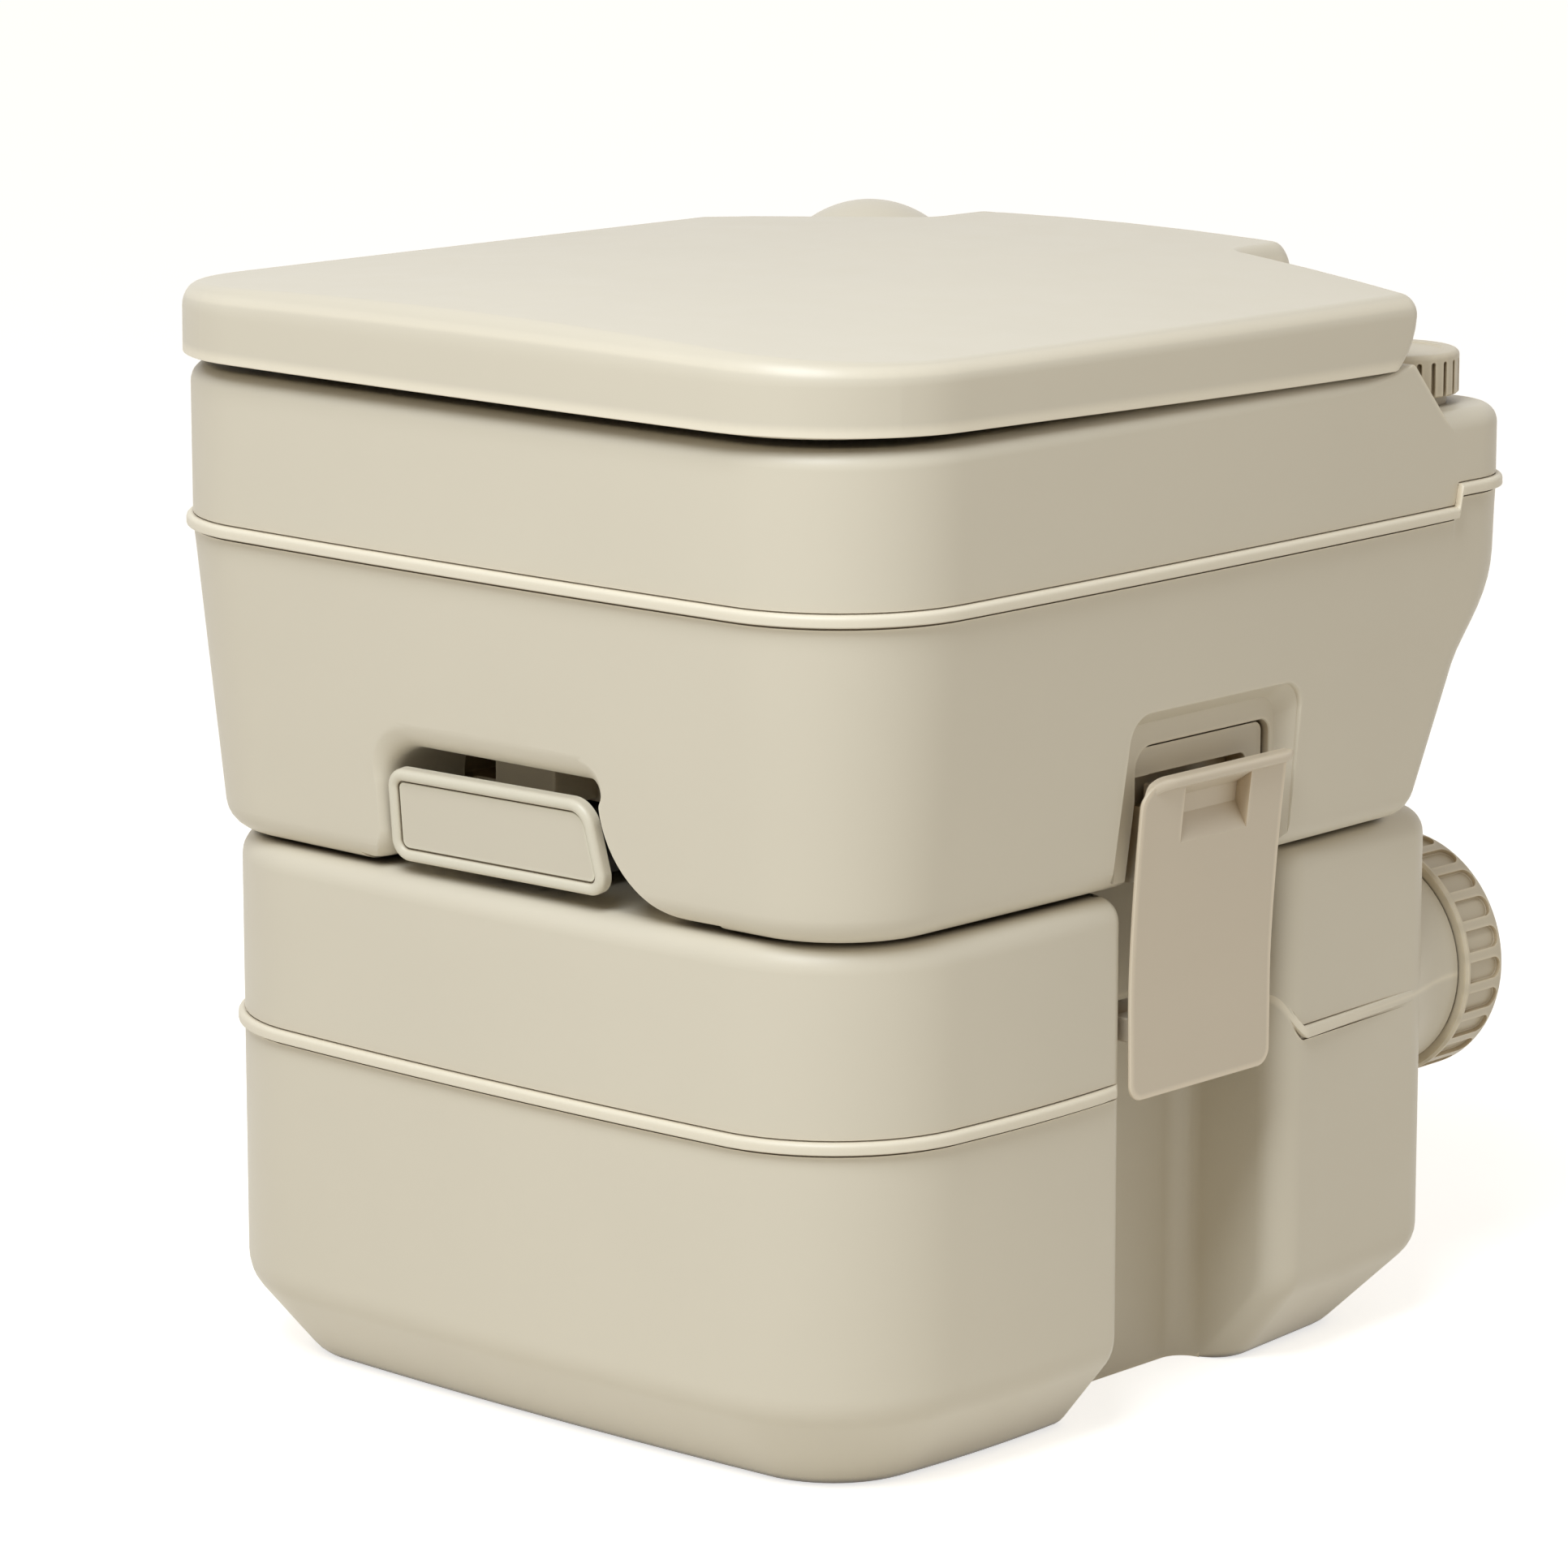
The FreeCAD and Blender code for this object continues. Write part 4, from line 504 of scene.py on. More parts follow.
def new_finish(name):
    """A fresh finish with its node tree, its shader and the piece's own coordinates."""
    finish = bpy.data.materials.new(name)
    finish.use_nodes = True
    tree = finish.node_tree
    place = add_node(tree, "TexCoord", {}).outputs["Object"]
    return finish, tree, tree.nodes["Principled BSDF"], place


def opaque(colour, gain=1, limit=1):
    """A colour made stronger or weaker up to a limit, as a shader takes it."""
    return (*[min(limit, part * gain) for part in colour], 1)


def mixed(tree, factor, first, second, **settings):
    """Two colours mixed by a factor."""
    values = {"Factor": factor, "A": first, "B": second}
    return add_node(tree, "Mix", values, data_type="RGBA", **settings).outputs["Result"]


def fitted(tree, value, **limits):
    """A value brought from one range to another."""
    sockets = {name.replace("_", " ").title(): limit for name, limit in limits.items()}
    return add_node(tree, "MapRange", {"Value": value, **sockets}).outputs[0]


def openness(tree, reach, limits, share=1, **settings):
    """How open a surface is within a reach, nought at the first limit and a share at the other."""
    near = add_node(tree, "AmbientOcclusion", {"Distance": reach}, samples=NEARNESS_SAMPLES, **settings)
    return fitted(tree, near.outputs["AO"], from_min=limits[0], from_max=limits[1], to_max=share)


def moulded_plastic(
    name, colour, roughness, grain=PORE_DEPTH, cloud=CLOUD_SHARE, reach=EDGE_HIGHLIGHT_REACH, gain=EDGE_HIGHLIGHT_GAIN,
):
    """Satin moulded plastic: faint clouds, fine grain, uneven gloss, a painted highlight on convex edges,
    painted shade in hollows and painted shade in narrow gaps.
    """
    finish, tree, skin, place = new_finish(name)
    clouds = add_node(tree, "TexNoise", {"Vector": place, "Scale": CLOUD_SCALE, "Detail": CLOUD_DETAIL})
    tint = mixed(tree, clouds.outputs["Fac"], opaque(colour, 1 - cloud), opaque(colour, 1 + cloud))
    # Painted highlight: convex edges, found by looking inside the surface, are painted paler.
    edge_highlight = openness(tree, reach, EDGE_HIGHLIGHT_RANGE, EDGE_HIGHLIGHT_SHARE, inside=True, only_local=True)
    highlighted = mixed(tree, edge_highlight, tint, opaque(colour, gain, EDGE_HIGHLIGHT_LIMIT))
    # Painted shade: hollows and recesses of the same piece are painted darker and warmer.
    depth = openness(tree, PAINTED_SHADE_REACH, PAINTED_SHADE_RANGE, only_local=True)
    painted_shade_tint = mixed(tree, depth, opaque(PAINTED_SHADE_TINT), opaque(FULL_LIGHT))
    shaded_colour = mixed(tree, 1, highlighted, painted_shade_tint, blend_type="MULTIPLY")
    # Painted shade: narrow gaps and creases, including those against other pieces, are painted nearly black.
    gap_shade_mask = openness(tree, GAP_SHADE_REACH, GAP_SHADE_RANGE)
    gap_shade_colour = [part * share for part, share in zip(colour, GAP_SHADE_TINT)]
    tree.links.new(mixed(tree, gap_shade_mask, opaque(gap_shade_colour), shaded_colour), skin.inputs["Base Color"])

    gloss = add_node(tree, "TexNoise", {"Vector": place, "Scale": GLOSS_SCALE, "Detail": GLOSS_DETAIL})
    satin = fitted(
        tree, gloss.outputs["Fac"], to_min=roughness - GLOSS_SPREAD, to_max=roughness + GLOSS_SPREAD,
    )
    tree.links.new(satin, skin.inputs["Roughness"])

    pores = add_node(tree, "TexNoise", {"Vector": place, "Scale": PORE_SCALE, "Detail": PORE_DETAIL})
    relief = add_node(tree, "Bump", {
        "Height": pores.outputs["Fac"], "Strength": PORE_STRENGTH, "Distance": grain,
    })
    tree.links.new(relief.outputs["Normal"], skin.inputs["Normal"])
    return finish


def tank_plan(inset, corner):
    """Plan of the tank, drawn in by an inset except in the waists."""
    half = TANK_HALF - inset
    return outline(mirrored([
        (half - TANK_SIDE_BOW, TANK_FRONT + TANK_FRONT_BOW + inset, corner, TANK_SIDE_BOW),
        (half, WAIST_FRONT, WAIST_EDGE),
        (WAIST_HALF, WAIST_FRONT, WAIST_HOLLOW),
        (WAIST_HALF, WAIST_REAR, WAIST_HOLLOW),
        (REAR_HALF - inset, WAIST_REAR, REAR_EDGE),
        (REAR_END_HALF - inset, TANK_REAR - inset, REAR_CORNER),
    ], TANK_FRONT_BOW))


def bead_under(wall_out, foot):
    """Steps from the wall through a fine groove to the lower edge of a seam bead."""
    groove = wall_out - BEAD_GROOVE
    steps = [(wall_out, foot - BEAD_GROOVE_LOW), (groove, foot - BEAD_GROOVE_LOW), (groove, foot)]
    steps += [(BEAD_OUT - BEAD_EDGE, foot)] + bend_out(BEAD_OUT - BEAD_EDGE, foot, BEAD_EDGE, BEAD_EDGE, 3)
    return steps + [(BEAD_OUT, foot + BEAD_HALF)]


def bead_over(seam):
    """Steps from the seam over the round of its bead and through a finer groove to the wall."""
    top = seam + BEAD_HALF
    steps = [(BEAD_OUT, seam), (BEAD_OUT, seam + BEAD_FLAT)]
    steps += bend_in(BEAD_OUT, seam + BEAD_FLAT, BEAD_SHOULDER - BEAD_OUT, BEAD_HALF - BEAD_FLAT, 7)
    steps += [(-BEAD_GROOVE_HIGH, top), (-BEAD_GROOVE_HIGH, top + BEAD_GROOVE_HIGH)]
    return steps + [(0, top + BEAD_GROOVE_HIGH)]


def bead_ring(points, out):
    """The tank's plan with its seam bead, which fades out in the waists and beside the neck."""
    ring = []
    for point, wide in zip(points, grown(points, out)):
        ahead = smooth_step(WAIST_FRONT - BEAD_FADE_FRONT[0], WAIST_FRONT - BEAD_FADE_FRONT[1], point.y)
        behind = smooth_step(WAIST_REAR + BEAD_FADE_REAR[0], WAIST_REAR + BEAD_FADE_REAR[1], point.y)
        in_waist = abs(point.x) > WAIST_HALF - WAIST_NEAR
        share = max(ahead, behind) if in_waist else 1
        if point.x > 0:
            share *= 1 - smooth_step(BEAD_END - BEAD_END_RUN, BEAD_END, point.y)
        ring.append(point.lerp(wide, share))
    return ring


def half_neck(name, side):
    """Half of the pour-out neck, above or below the seam: a root that fairs into the tank, and a spigot."""
    circle = round_plan(1, NECK_POINTS)
    start, end = NECK_FLARE_Y
    places = [NECK_ROOT] + rows(start, end, NECK_ROWS)
    steps = [(NECK_WIDE + NECK_FLARE * (1 - smooth_step(start, end, place)), place) for place in places]
    steps += [(NECK_WIDE, NECK_SHOULDER - NECK_EDGE), (NECK_WIDE - NECK_EDGE_IN, NECK_SHOULDER)]
    steps += [(NECK_RADIUS, NECK_SHOULDER), (NECK_RADIUS, NECK_END)]
    neck = raised(name, [([point * radius for point in circle], place) for radius, place in steps])
    neck.data.transform(Matrix.Rotation(-math.pi / 2, 4, "X"))
    neck.data.transform(Matrix.Translation((NECK_X, 0, TANK_SEAM)))
    bpy.ops.object.mode_set(mode="EDIT")
    bpy.ops.mesh.select_all(action="SELECT")
    bpy.ops.mesh.bisect(
        plane_co=(0, 0, TANK_SEAM), plane_no=(0, 0, 1), use_fill=True,
        clear_inner=side > 0, clear_outer=side < 0,
    )
    return to_object(neck)


def curved_seam(place):
    """The seam climbs where the rear block meets the waist."""
    if place.y > WAIST_FRONT:
        near = max(0, 1 - abs(place.z - TANK_SEAM) / SEAM_RISE_REACH)
        place.z += SEAM_RISE * near * (1 - smooth_step(SEAM_RISE_END, SEAM_RISE_START, place.y))
    return place


tank_finish = moulded_plastic("ivory_tank", IVORY, TANK_ROUGHNESS)
wall_plan = tank_plan(0, TANK_CORNER)
foot_plan = tank_plan(FOOT_INSET, FOOT_CORNER)
wall_start = FOOT_RISE + FOOT_SOFT
foot_steps = soft_corner(
    (0, wall_start), (0, FOOT_RISE), (FOOT_BEND_HIGH[0], FOOT_RISE * FOOT_BEND_HIGH[1]),
)[1:]
foot_steps += soft_corner((FOOT_BEND_LOW[0], FOOT_RISE * FOOT_BEND_LOW[1]), (1, 0), (FOOT_REACH, 0))
tank_base = start_plan("waste_tank_base_shell", wall_plan, wall_start)
bead_foot = TANK_SEAM - BEAD_HALF
levels = rows(wall_start, bead_foot - BEAD_GROOVE_LOW, TANK_BASE_ROWS)[1:-1]
raise_wall(tank_base, walls(wall_plan, [(0, level) for level in levels]))
raise_wall(tank_base, [(bead_ring(wall_plan, out), height) for out, height in bead_under(0, bead_foot)])
raise_wall(tank_base, walls(wall_plan, [(-SHELL_WALL, TANK_SEAM), (-SHELL_WALL, TANK_SEAM - SHELL_DEPTH)]))
pick_end(tank_base, wall_start)
raise_wall(tank_base, [(between(wall_plan, foot_plan, share), height) for share, height in foot_steps])
to_object(tank_base)
shape(tank_base, curved_seam)
combine(tank_base, half_neck("lower_neck", -1), "UNION")
finish_piece(tank_base, tank_finish, "root", ["waste_tank_base"])

shoulder = TANK_TOP - TANK_SHOULDER
bead_top = TANK_SEAM + BEAD_HALF + BEAD_GROOVE_HIGH
top_rings = walls(wall_plan, [(-SHELL_WALL, TANK_SEAM + SHELL_DEPTH), (-SHELL_WALL, TANK_SEAM)])
top_rings += [(bead_ring(wall_plan, out), height) for out, height in bead_over(TANK_SEAM)]
top_rings += walls(wall_plan, [(0, level) for level in rows(bead_top, shoulder, TANK_TOP_ROWS)[1:]])
top_rings += walls(wall_plan, bend_in(0, shoulder, -TANK_SHOULDER, TANK_SHOULDER, 8))
tank_top = raised("waste_tank_top_shell", top_rings)
shape(tank_top, curved_seam)
combine(tank_top, half_neck("upper_neck", 1), "UNION")
finish_piece(tank_top, tank_finish, "root", ["waste_tank_top"])


# Flush tank, lower half
# A blow-moulded tub of ivory polyethylene with drafted walls and a rear that leans in to its heel. A recess
# for the valve handle, a pocket for the valve and a catch on each side are moulded in.
FLUSH_SEAM = 0.318
FLUSH_HALF = 0.180
FLUSH_FRONT = -0.1815
FLUSH_REAR = 0.200
FLUSH_CORNER = 0.057
FLUSH_REAR_CORNER = 0.027
FLUSH_SIDE_BOW = 0.0015
FLUSH_FRONT_BOW = 0.002
SEAM_STEP = 0.0084
SEAM_STEP_Y = 0.1575
SEAM_STEP_RUN = 0.0012
SEAM_REACH = 0.020
TUB_DRAFT = math.tan(math.radians(5.6))
TUB_ROUND = 0.010
TUB_GAP = 0.0009
TUB_LEVELS = 20
TUB_HOLLOW = 0.030
TUB_WALL = 0.009
TUB_ROOM = 0.02
HEEL_REAR = 0.152
REAR_LEAN = 0.44
SWEEP_LOW = 0.258
SWEEP_HIGH = 0.300
SWEEP_START = 0.075
SWEEP_LIMIT = 1.2
RECESS_LEFT = -0.0535
RECESS_RIGHT = 0.0525
RECESS_TOP = 0.2478
RECESS_BACK = 0.126
RECESS_BEYOND = 0.22
RECESS_NEAR = 0.0005
RECESS_CORNER = 0.007
RECESS_CORNER_LEFT = 0.015
RECESS_MOUTH_LEFT = -0.0695
RECESS_MOUTH_RIGHT = 0.104
RECESS_FLARE_LEFT = 0.012
RECESS_FLARE_RIGHT = 0.0365
RECESS_MOUTH_Z = 0.2035
RECESS_LIP = 0.011
RECESS_LIP_LEFT = 0.5
RECESS_LIP_RIGHT = 0.25
CATCH_FLOOR = 0.166
CATCH_FRONT = (-0.0271, -0.0315)
CATCH_FRONT_TOP = (-0.0211, -0.0262)
CATCH_REAR = (0.0655, 0.0725)
CATCH_TOP = (0.2608, 0.2672)
CATCH_CORNER = (0.0085, 0.0105)
CATCH_LIP = 0.0022
CATCH_NARROW = 0.82
PANEL_FLOOR = 0.1632
PANEL_FRONT = -0.0138
PANEL_REAR = 0.0628
PANEL_BOTTOM = 0.224
PANEL_TOP = 0.2525
PANEL_CORNER = 0.005
PANEL_CORNER_FRONT = 0.009
PANEL_GROOVE = 0.0013
PANEL_GROOVE_DEPTH = 0.0024
PANEL_EDGE = 0.0004
PANEL_BEYOND = 0.003
POCKET_FLOOR = 0.154
POCKET_FRONT = -0.0050
POCKET_REAR = 0.0525
POCKET_BOTTOM = 0.228
POCKET_TOP = 0.2410
GAP_FRONT = (-0.0205, -0.0125)
GAP_REAR = (-0.0105, -0.0020)
GAP_BOTTOM = 0.196
GAP_CORNER = 0.002
GAP_SHALLOW = 0.001
POCKET_CORNER = 0.003
TOOL_LIP = 0.0004
TOOL_BEYOND = 0.004
CATCH_BEYOND = 0.21
STEM_SLOT = (-0.0600, -0.0250)
STEM_SLOT_START = 0.131
STEM_SLOT_BOTTOM = 0.2292
STEM_SLOT_DEPTH = 0.036
STEM_SLOT_DROP = 0.0015
STEM_SLOT_EDGE = 0.0008
STEM_GUIDE = (-0.0230, 0.0070)
STEM_GUIDE_OUT = 0.020
STEM_GUIDE_IN = 0.002
STEM_GUIDE_EDGE = 0.0006
VALVE_ROOM_HALF = 0.067
VALVE_ROOM_OUT = 0.001
VALVE_ROOM_REAR = 0.058
VALVE_ROOM_TOP = 0.228
OUTLET_Y = -0.015
OUTLET_RADIUS = 0.042
OUTLET_POINTS = 64
OUTLET_DEPTH = 0.05
OUTLET_MIDDLE = 0.215
BOWL_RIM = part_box("seat_bumpers")[0].z
BOWL_FOOT = 0.2275
BOWL_CURVE = 0.62
BOWL_SPARE = 0.001
BOWL_HALF = (OUTLET_RADIUS, 0.108)
BOWL_FRONT = (OUTLET_RADIUS - OUTLET_Y + BOWL_SPARE, 0.152)
BOWL_REAR = (OUTLET_RADIUS + OUTLET_Y + BOWL_SPARE, 0.098)
BOWL_LEVELS = 18
BOWL_LEVEL_POWER = 1.5
BOWL_LIP = 0.006
BOWL_WALL = 0.0035
BOWL_GAP = 0.0001
BOWL_BEYOND = 0.02
NEARLY_ROUND = 0.0005
BELOW_TANK = 0.190
STAND_FRONT = Matrix.Rotation(math.pi / 2, 4, "X")
STAND_SIDE = Matrix(((0, 0, 1, 0), (1, 0, 0, 0), (0, 1, 0, 0), (0, 0, 0, 1)))


def tub_inset(height):
    """How far the drafted wall stands inside the seam at a height."""
    return -(FLUSH_SEAM - height) * TUB_DRAFT


def rear_sweep(place):
    """Lean the rear wall in to the heel, with a smooth brow above."""
    lean = HEEL_REAR + (place.z - TANK_TOP) * REAR_LEAN
    rear = lean + (FLUSH_REAR - lean) * smooth_step(SWEEP_LOW, SWEEP_HIGH, place.z)
    drawn = FLUSH_REAR + tub_inset(min(place.z, FLUSH_SEAM))
    share = min(SWEEP_LIMIT, max(0, (place.y - SWEEP_START) / (drawn - SWEEP_START)))
    place.y += (rear - drawn) * share
    return place


def stepped_seam(place):
    """Lift the seam behind the step in each side."""
    step = smooth_step(SEAM_STEP_Y - SEAM_STEP_RUN, SEAM_STEP_Y + SEAM_STEP_RUN, place.y)
    low = smooth_step(FLUSH_SEAM - SEAM_REACH, FLUSH_SEAM - BEAD_HALF - BEAD_GROOVE_LOW, place.z)
    high = 1 - smooth_step(FLUSH_SEAM + BEAD_HALF + BEAD_GROOVE_HIGH, FLUSH_SEAM + SEAM_REACH, place.z)
    place.z += SEAM_STEP * step * min(low, high)
    return place


def lipped_tool(name, points, floor, wall):
    """A cutting tool that ends at a floor and opens in a round lip where it meets a wall."""
    foot = wall - TOOL_LIP
    steps = [(0, floor), (0, foot)] + bend_in(0, foot, TOOL_LIP, TOOL_LIP, 6)
    return raised(name, walls(points, steps + [(TOOL_LIP, wall + TOOL_BEYOND)]))


def four_corners(left, low, right, high, lower=0, upper=0):
    """Plan of a rectangle, with the radius of its lower and of its upper corners."""
    return outline([(left, low, lower), (right, low, lower), (right, high, upper), (left, high, upper)])


def combine_pair(piece, tool, operation="DIFFERENCE"):
    """Cut or weld a tool and its mirror image on the left side."""
    combine(piece, mirror_copy(tool, "left_" + tool.name), operation)
    combine(piece, tool, operation)


def bowl_plan(height):
    """Long round plan of the bowl at a height."""
    share = max(0, (height - BOWL_FOOT) / (BOWL_RIM - BOWL_FOOT)) ** BOWL_CURVE
    half, front, rear = (low + (high - low) * share for low, high in (BOWL_HALF, BOWL_FRONT, BOWL_REAR))
    corner = min(half, (front + rear) / 2) - NEARLY_ROUND
    return outline(mirrored([(half, -front, corner), (half, rear, corner)]))


def bowl_form(name, out, top, lip):
    """The bowl as a solid up to a height, with its wall moved out and a round lip at its rim."""
    shares = [(k / BOWL_LEVELS) ** BOWL_LEVEL_POWER for k in range(BOWL_LEVELS + 1)]
    levels = [BOWL_FOOT + (top - lip - BOWL_FOOT) * share for share in shares]
    rings = [(grown(bowl_plan(level), out), level) for level in levels]
    if lip:
        lip_steps = bend_in(out, top - lip, lip, lip, 6) + [(out + lip, top + BOWL_BEYOND)]
        rings += walls(bowl_plan(top - lip), lip_steps)
    return raised(name, rings)


flush_side = FLUSH_HALF - FLUSH_SIDE_BOW
side_step = [(flush_side, SEAM_STEP_Y + SEAM_STEP_RUN * k / 2) for k in (-2, -1, 0, 1, 2)]
flush_plan = outline(mirrored([
    (flush_side, FLUSH_FRONT + FLUSH_FRONT_BOW, FLUSH_CORNER, FLUSH_SIDE_BOW),
    *side_step,
    (flush_side, FLUSH_REAR, FLUSH_REAR_CORNER),
], FLUSH_FRONT_BOW))
tub_low = TANK_TOP + TUB_GAP
tub_steps = [(-TUB_ROUND, tub_low)] + bend_out(-TUB_ROUND, tub_low, TUB_ROUND, TUB_ROUND, 6)
bead_foot = FLUSH_SEAM - BEAD_HALF
levels = rows(tub_low + TUB_ROUND, bead_foot - BEAD_GROOVE_LOW, TUB_LEVELS)[1:-1]
tub_steps += [(0, level) for level in levels]
tub_steps = [(out + tub_inset(height), height) for out, height in tub_steps]
tub_steps += bead_under(tub_inset(bead_foot), bead_foot)
tub_steps += [(-TUB_WALL, FLUSH_SEAM), (-TUB_WALL, FLUSH_SEAM - TUB_HOLLOW)]
tub = raised("flush_tank_base_shell", walls(flush_plan, tub_steps))
shape(tub, rear_sweep)
shape(tub, stepped_seam)

recess_plan = outline([
    (RECESS_MOUTH_LEFT, BELOW_TANK),
    (RECESS_MOUTH_RIGHT, BELOW_TANK),
    (RECESS_MOUTH_RIGHT, RECESS_MOUTH_Z),
    (RECESS_RIGHT, RECESS_MOUTH_Z, RECESS_FLARE_RIGHT),
    (RECESS_RIGHT, RECESS_TOP, RECESS_CORNER),
    (RECESS_LEFT, RECESS_TOP, RECESS_CORNER_LEFT),
    (RECESS_LEFT, RECESS_MOUTH_Z, RECESS_FLARE_LEFT),
    (RECESS_MOUTH_LEFT, RECESS_MOUTH_Z),
])


def recess_ring(run):
    """The recess's plan with its lip, full along the top, smaller on the left and least on the right."""
    ring = []
    for point, wide in zip(recess_plan, grown(recess_plan, run)):
        out = (wide - point).normalized() if run else Vector((0, 0))
        side = RECESS_LIP_LEFT if out.x < 0 else RECESS_LIP_RIGHT
        flare = RECESS_FLARE_RIGHT if point.x > 0 else RECESS_FLARE_LEFT
        top = RECESS_LIP_RIGHT if point.y < RECESS_MOUTH_Z + flare + RECESS_NEAR else 1
        ring.append(point.lerp(wide, top * abs(out.y) + side * abs(out.x)))
    return ring


def follow_front(place):
    """Lean the recess's lip with the drafted front wall."""
    if place.z > RECESS_BACK:
        place.z += (place.y - RECESS_TOP) * TUB_DRAFT
    return place


lip_foot = -FLUSH_FRONT + tub_inset(RECESS_TOP) - RECESS_LIP
recess_steps = [(0, RECESS_BACK), (0, lip_foot)] + bend_in(0, lip_foot, RECESS_LIP, RECESS_LIP, 8)
recess_steps += [(RECESS_LIP, RECESS_BEYOND)]
recess = raised("recess_tool", [(recess_ring(run), height) for run, height in recess_steps])
shape(recess, follow_front)
recess.data.transform(STAND_FRONT)
combine(tub, recess)

catch_inner, catch_outer = (
    outline([
        (CATCH_FRONT[k], BELOW_TANK),
        (CATCH_REAR[k], BELOW_TANK),
        (CATCH_REAR[k], CATCH_TOP[k], CATCH_CORNER[k]),
        (CATCH_FRONT_TOP[k], CATCH_TOP[k], CATCH_CORNER[k]),
    ])
    for k in (0, 1)
)
side_wall = FLUSH_HALF + tub_inset(CATCH_TOP[1])
lip_foot = side_wall - CATCH_LIP
catch_steps = [(0, CATCH_FLOOR), (CATCH_NARROW, lip_foot)]
catch_steps += bend_in(CATCH_NARROW, lip_foot, 1 - CATCH_NARROW, CATCH_LIP, 5) + [(1, CATCH_BEYOND)]
catch_tool = raised(
    "catch_tool", [(between(catch_inner, catch_outer, share), height) for share, height in catch_steps],
)


def follow_side(place):
    """Lean the catch's lip with the drafted side wall."""
    depth = (side_wall + (place.y - CATCH_TOP[1]) * TUB_DRAFT - CATCH_FLOOR) / (side_wall - CATCH_FLOOR)
    place.z = CATCH_FLOOR + (place.z - CATCH_FLOOR) * depth
    return place


shape(catch_tool, follow_side)
panel_plan = outline([
    (PANEL_FRONT, PANEL_BOTTOM, PANEL_CORNER),
    (PANEL_REAR, PANEL_BOTTOM, PANEL_CORNER),
    (PANEL_REAR, PANEL_TOP, PANEL_CORNER),
    (PANEL_FRONT, PANEL_TOP, PANEL_CORNER_FRONT),
])
panel_tool = raised("panel_tool", walls(panel_plan, [
    (-PANEL_GROOVE, PANEL_FLOOR),
    (-PANEL_GROOVE, PANEL_FLOOR - PANEL_GROOVE_DEPTH),
    (0, PANEL_FLOOR - PANEL_GROOVE_DEPTH),
    (0, CATCH_FLOOR - PANEL_EDGE),
    (PANEL_EDGE, CATCH_FLOOR),
    (PANEL_EDGE, CATCH_FLOOR + PANEL_BEYOND),
]))
pocket_plan = four_corners(
    POCKET_FRONT, POCKET_BOTTOM, POCKET_REAR, POCKET_TOP, POCKET_CORNER, POCKET_CORNER,
)
pocket_tool = lipped_tool("pocket_tool", pocket_plan, POCKET_FLOOR, PANEL_FLOOR)
gap_plan = outline([
    (GAP_FRONT[0], GAP_BOTTOM),
    (GAP_REAR[0], GAP_BOTTOM),
    (GAP_REAR[1], POCKET_TOP),
    (GAP_FRONT[1], POCKET_TOP, GAP_CORNER),
])
gap_tool = lipped_tool("gap_tool", gap_plan, POCKET_FLOOR + GAP_SHALLOW, CATCH_FLOOR)
for tool in (catch_tool, panel_tool, pocket_tool, gap_tool):
    tool.data.transform(STAND_SIDE)
    combine_pair(tub, tool)
combine(tub, block(
    "stem_slot",
    (STEM_SLOT[0], -STEM_SLOT_START, STEM_SLOT_BOTTOM),
    (STEM_SLOT[1], STEM_SLOT_DEPTH - RECESS_BACK, RECESS_TOP - STEM_SLOT_DROP),
    STEM_SLOT_EDGE,
))
combine(tub, block(
    "stem_guide",
    (STEM_GUIDE[0], -RECESS_BACK - STEM_GUIDE_OUT, STEM_SLOT_BOTTOM),
    (STEM_GUIDE[1], STEM_GUIDE_IN - RECESS_BACK, RECESS_TOP + STEM_GUIDE_IN),
    STEM_GUIDE_EDGE,
), "UNION")
combine(tub, block(
    "valve_room",
    (-VALVE_ROOM_HALF, -RECESS_BACK - VALVE_ROOM_OUT, BELOW_TANK),
    (VALVE_ROOM_HALF, VALVE_ROOM_REAR, VALVE_ROOM_TOP),
))
combine(tub, bowl_form("bowl_room", BOWL_WALL + BOWL_GAP, FLUSH_SEAM + TUB_ROOM, 0))
bpy.ops.mesh.primitive_cylinder_add(
    vertices=OUTLET_POINTS, radius=OUTLET_RADIUS, depth=OUTLET_DEPTH, location=(0, OUTLET_Y, OUTLET_MIDDLE),
)
outlet_tool = bpy.context.object
bpy.ops.object.transform_apply()
combine(tub, outlet_tool)
flush_finish = moulded_plastic("ivory_flush_tank", IVORY, TANK_ROUGHNESS)
finish_piece(tub, flush_finish, "root", ["flush_tank_base"])


# Flush tank, upper half
# The top moulding of ivory polyethylene: a deck with the bowl in it, a lower shelf behind for the filler and
# the pump, and two ears for the seat's hinge. It is welded to the tub at the stepped bead.
DECK_TOP = BOWL_RIM
DECK_ROUND = 0.007
DECK_ROWS = 6
DECK_END = 0.1295
SHELF_START = 0.1485
SHELF_DROP = 0.021
SHELF_SOFT = 0.0035
SHELF_SAMPLES = 4
SHELF_ROWS = 20
SHELF_SPARE = 0.001
SHELF_FADE = 0.022
SHELF_UNDER = 0.345
CRISP_START = 0.012
CRISP_REACH = 0.035
CRISP_NEAR = 0.0001
FILL_PLACE_X = 0.140
FILL_PLACE_Y = 0.166
FILL_NECK_RADIUS = 0.019
FILL_COLLAR_RADIUS = 0.0215
FILL_COLLAR_TOP = 0.359
FILL_NECK_TOP = 0.368
POST_POINTS = 64
POST_EDGE = 0.001
EAR_INNER = 0.028
EAR_WIDTH = 0.016
EAR_HALF = 0.009
EAR_ROUND = EAR_HALF - 0.0002
EAR_EDGE = 0.001
HINGE_Y = 0.168
HINGE_Z = 0.3865


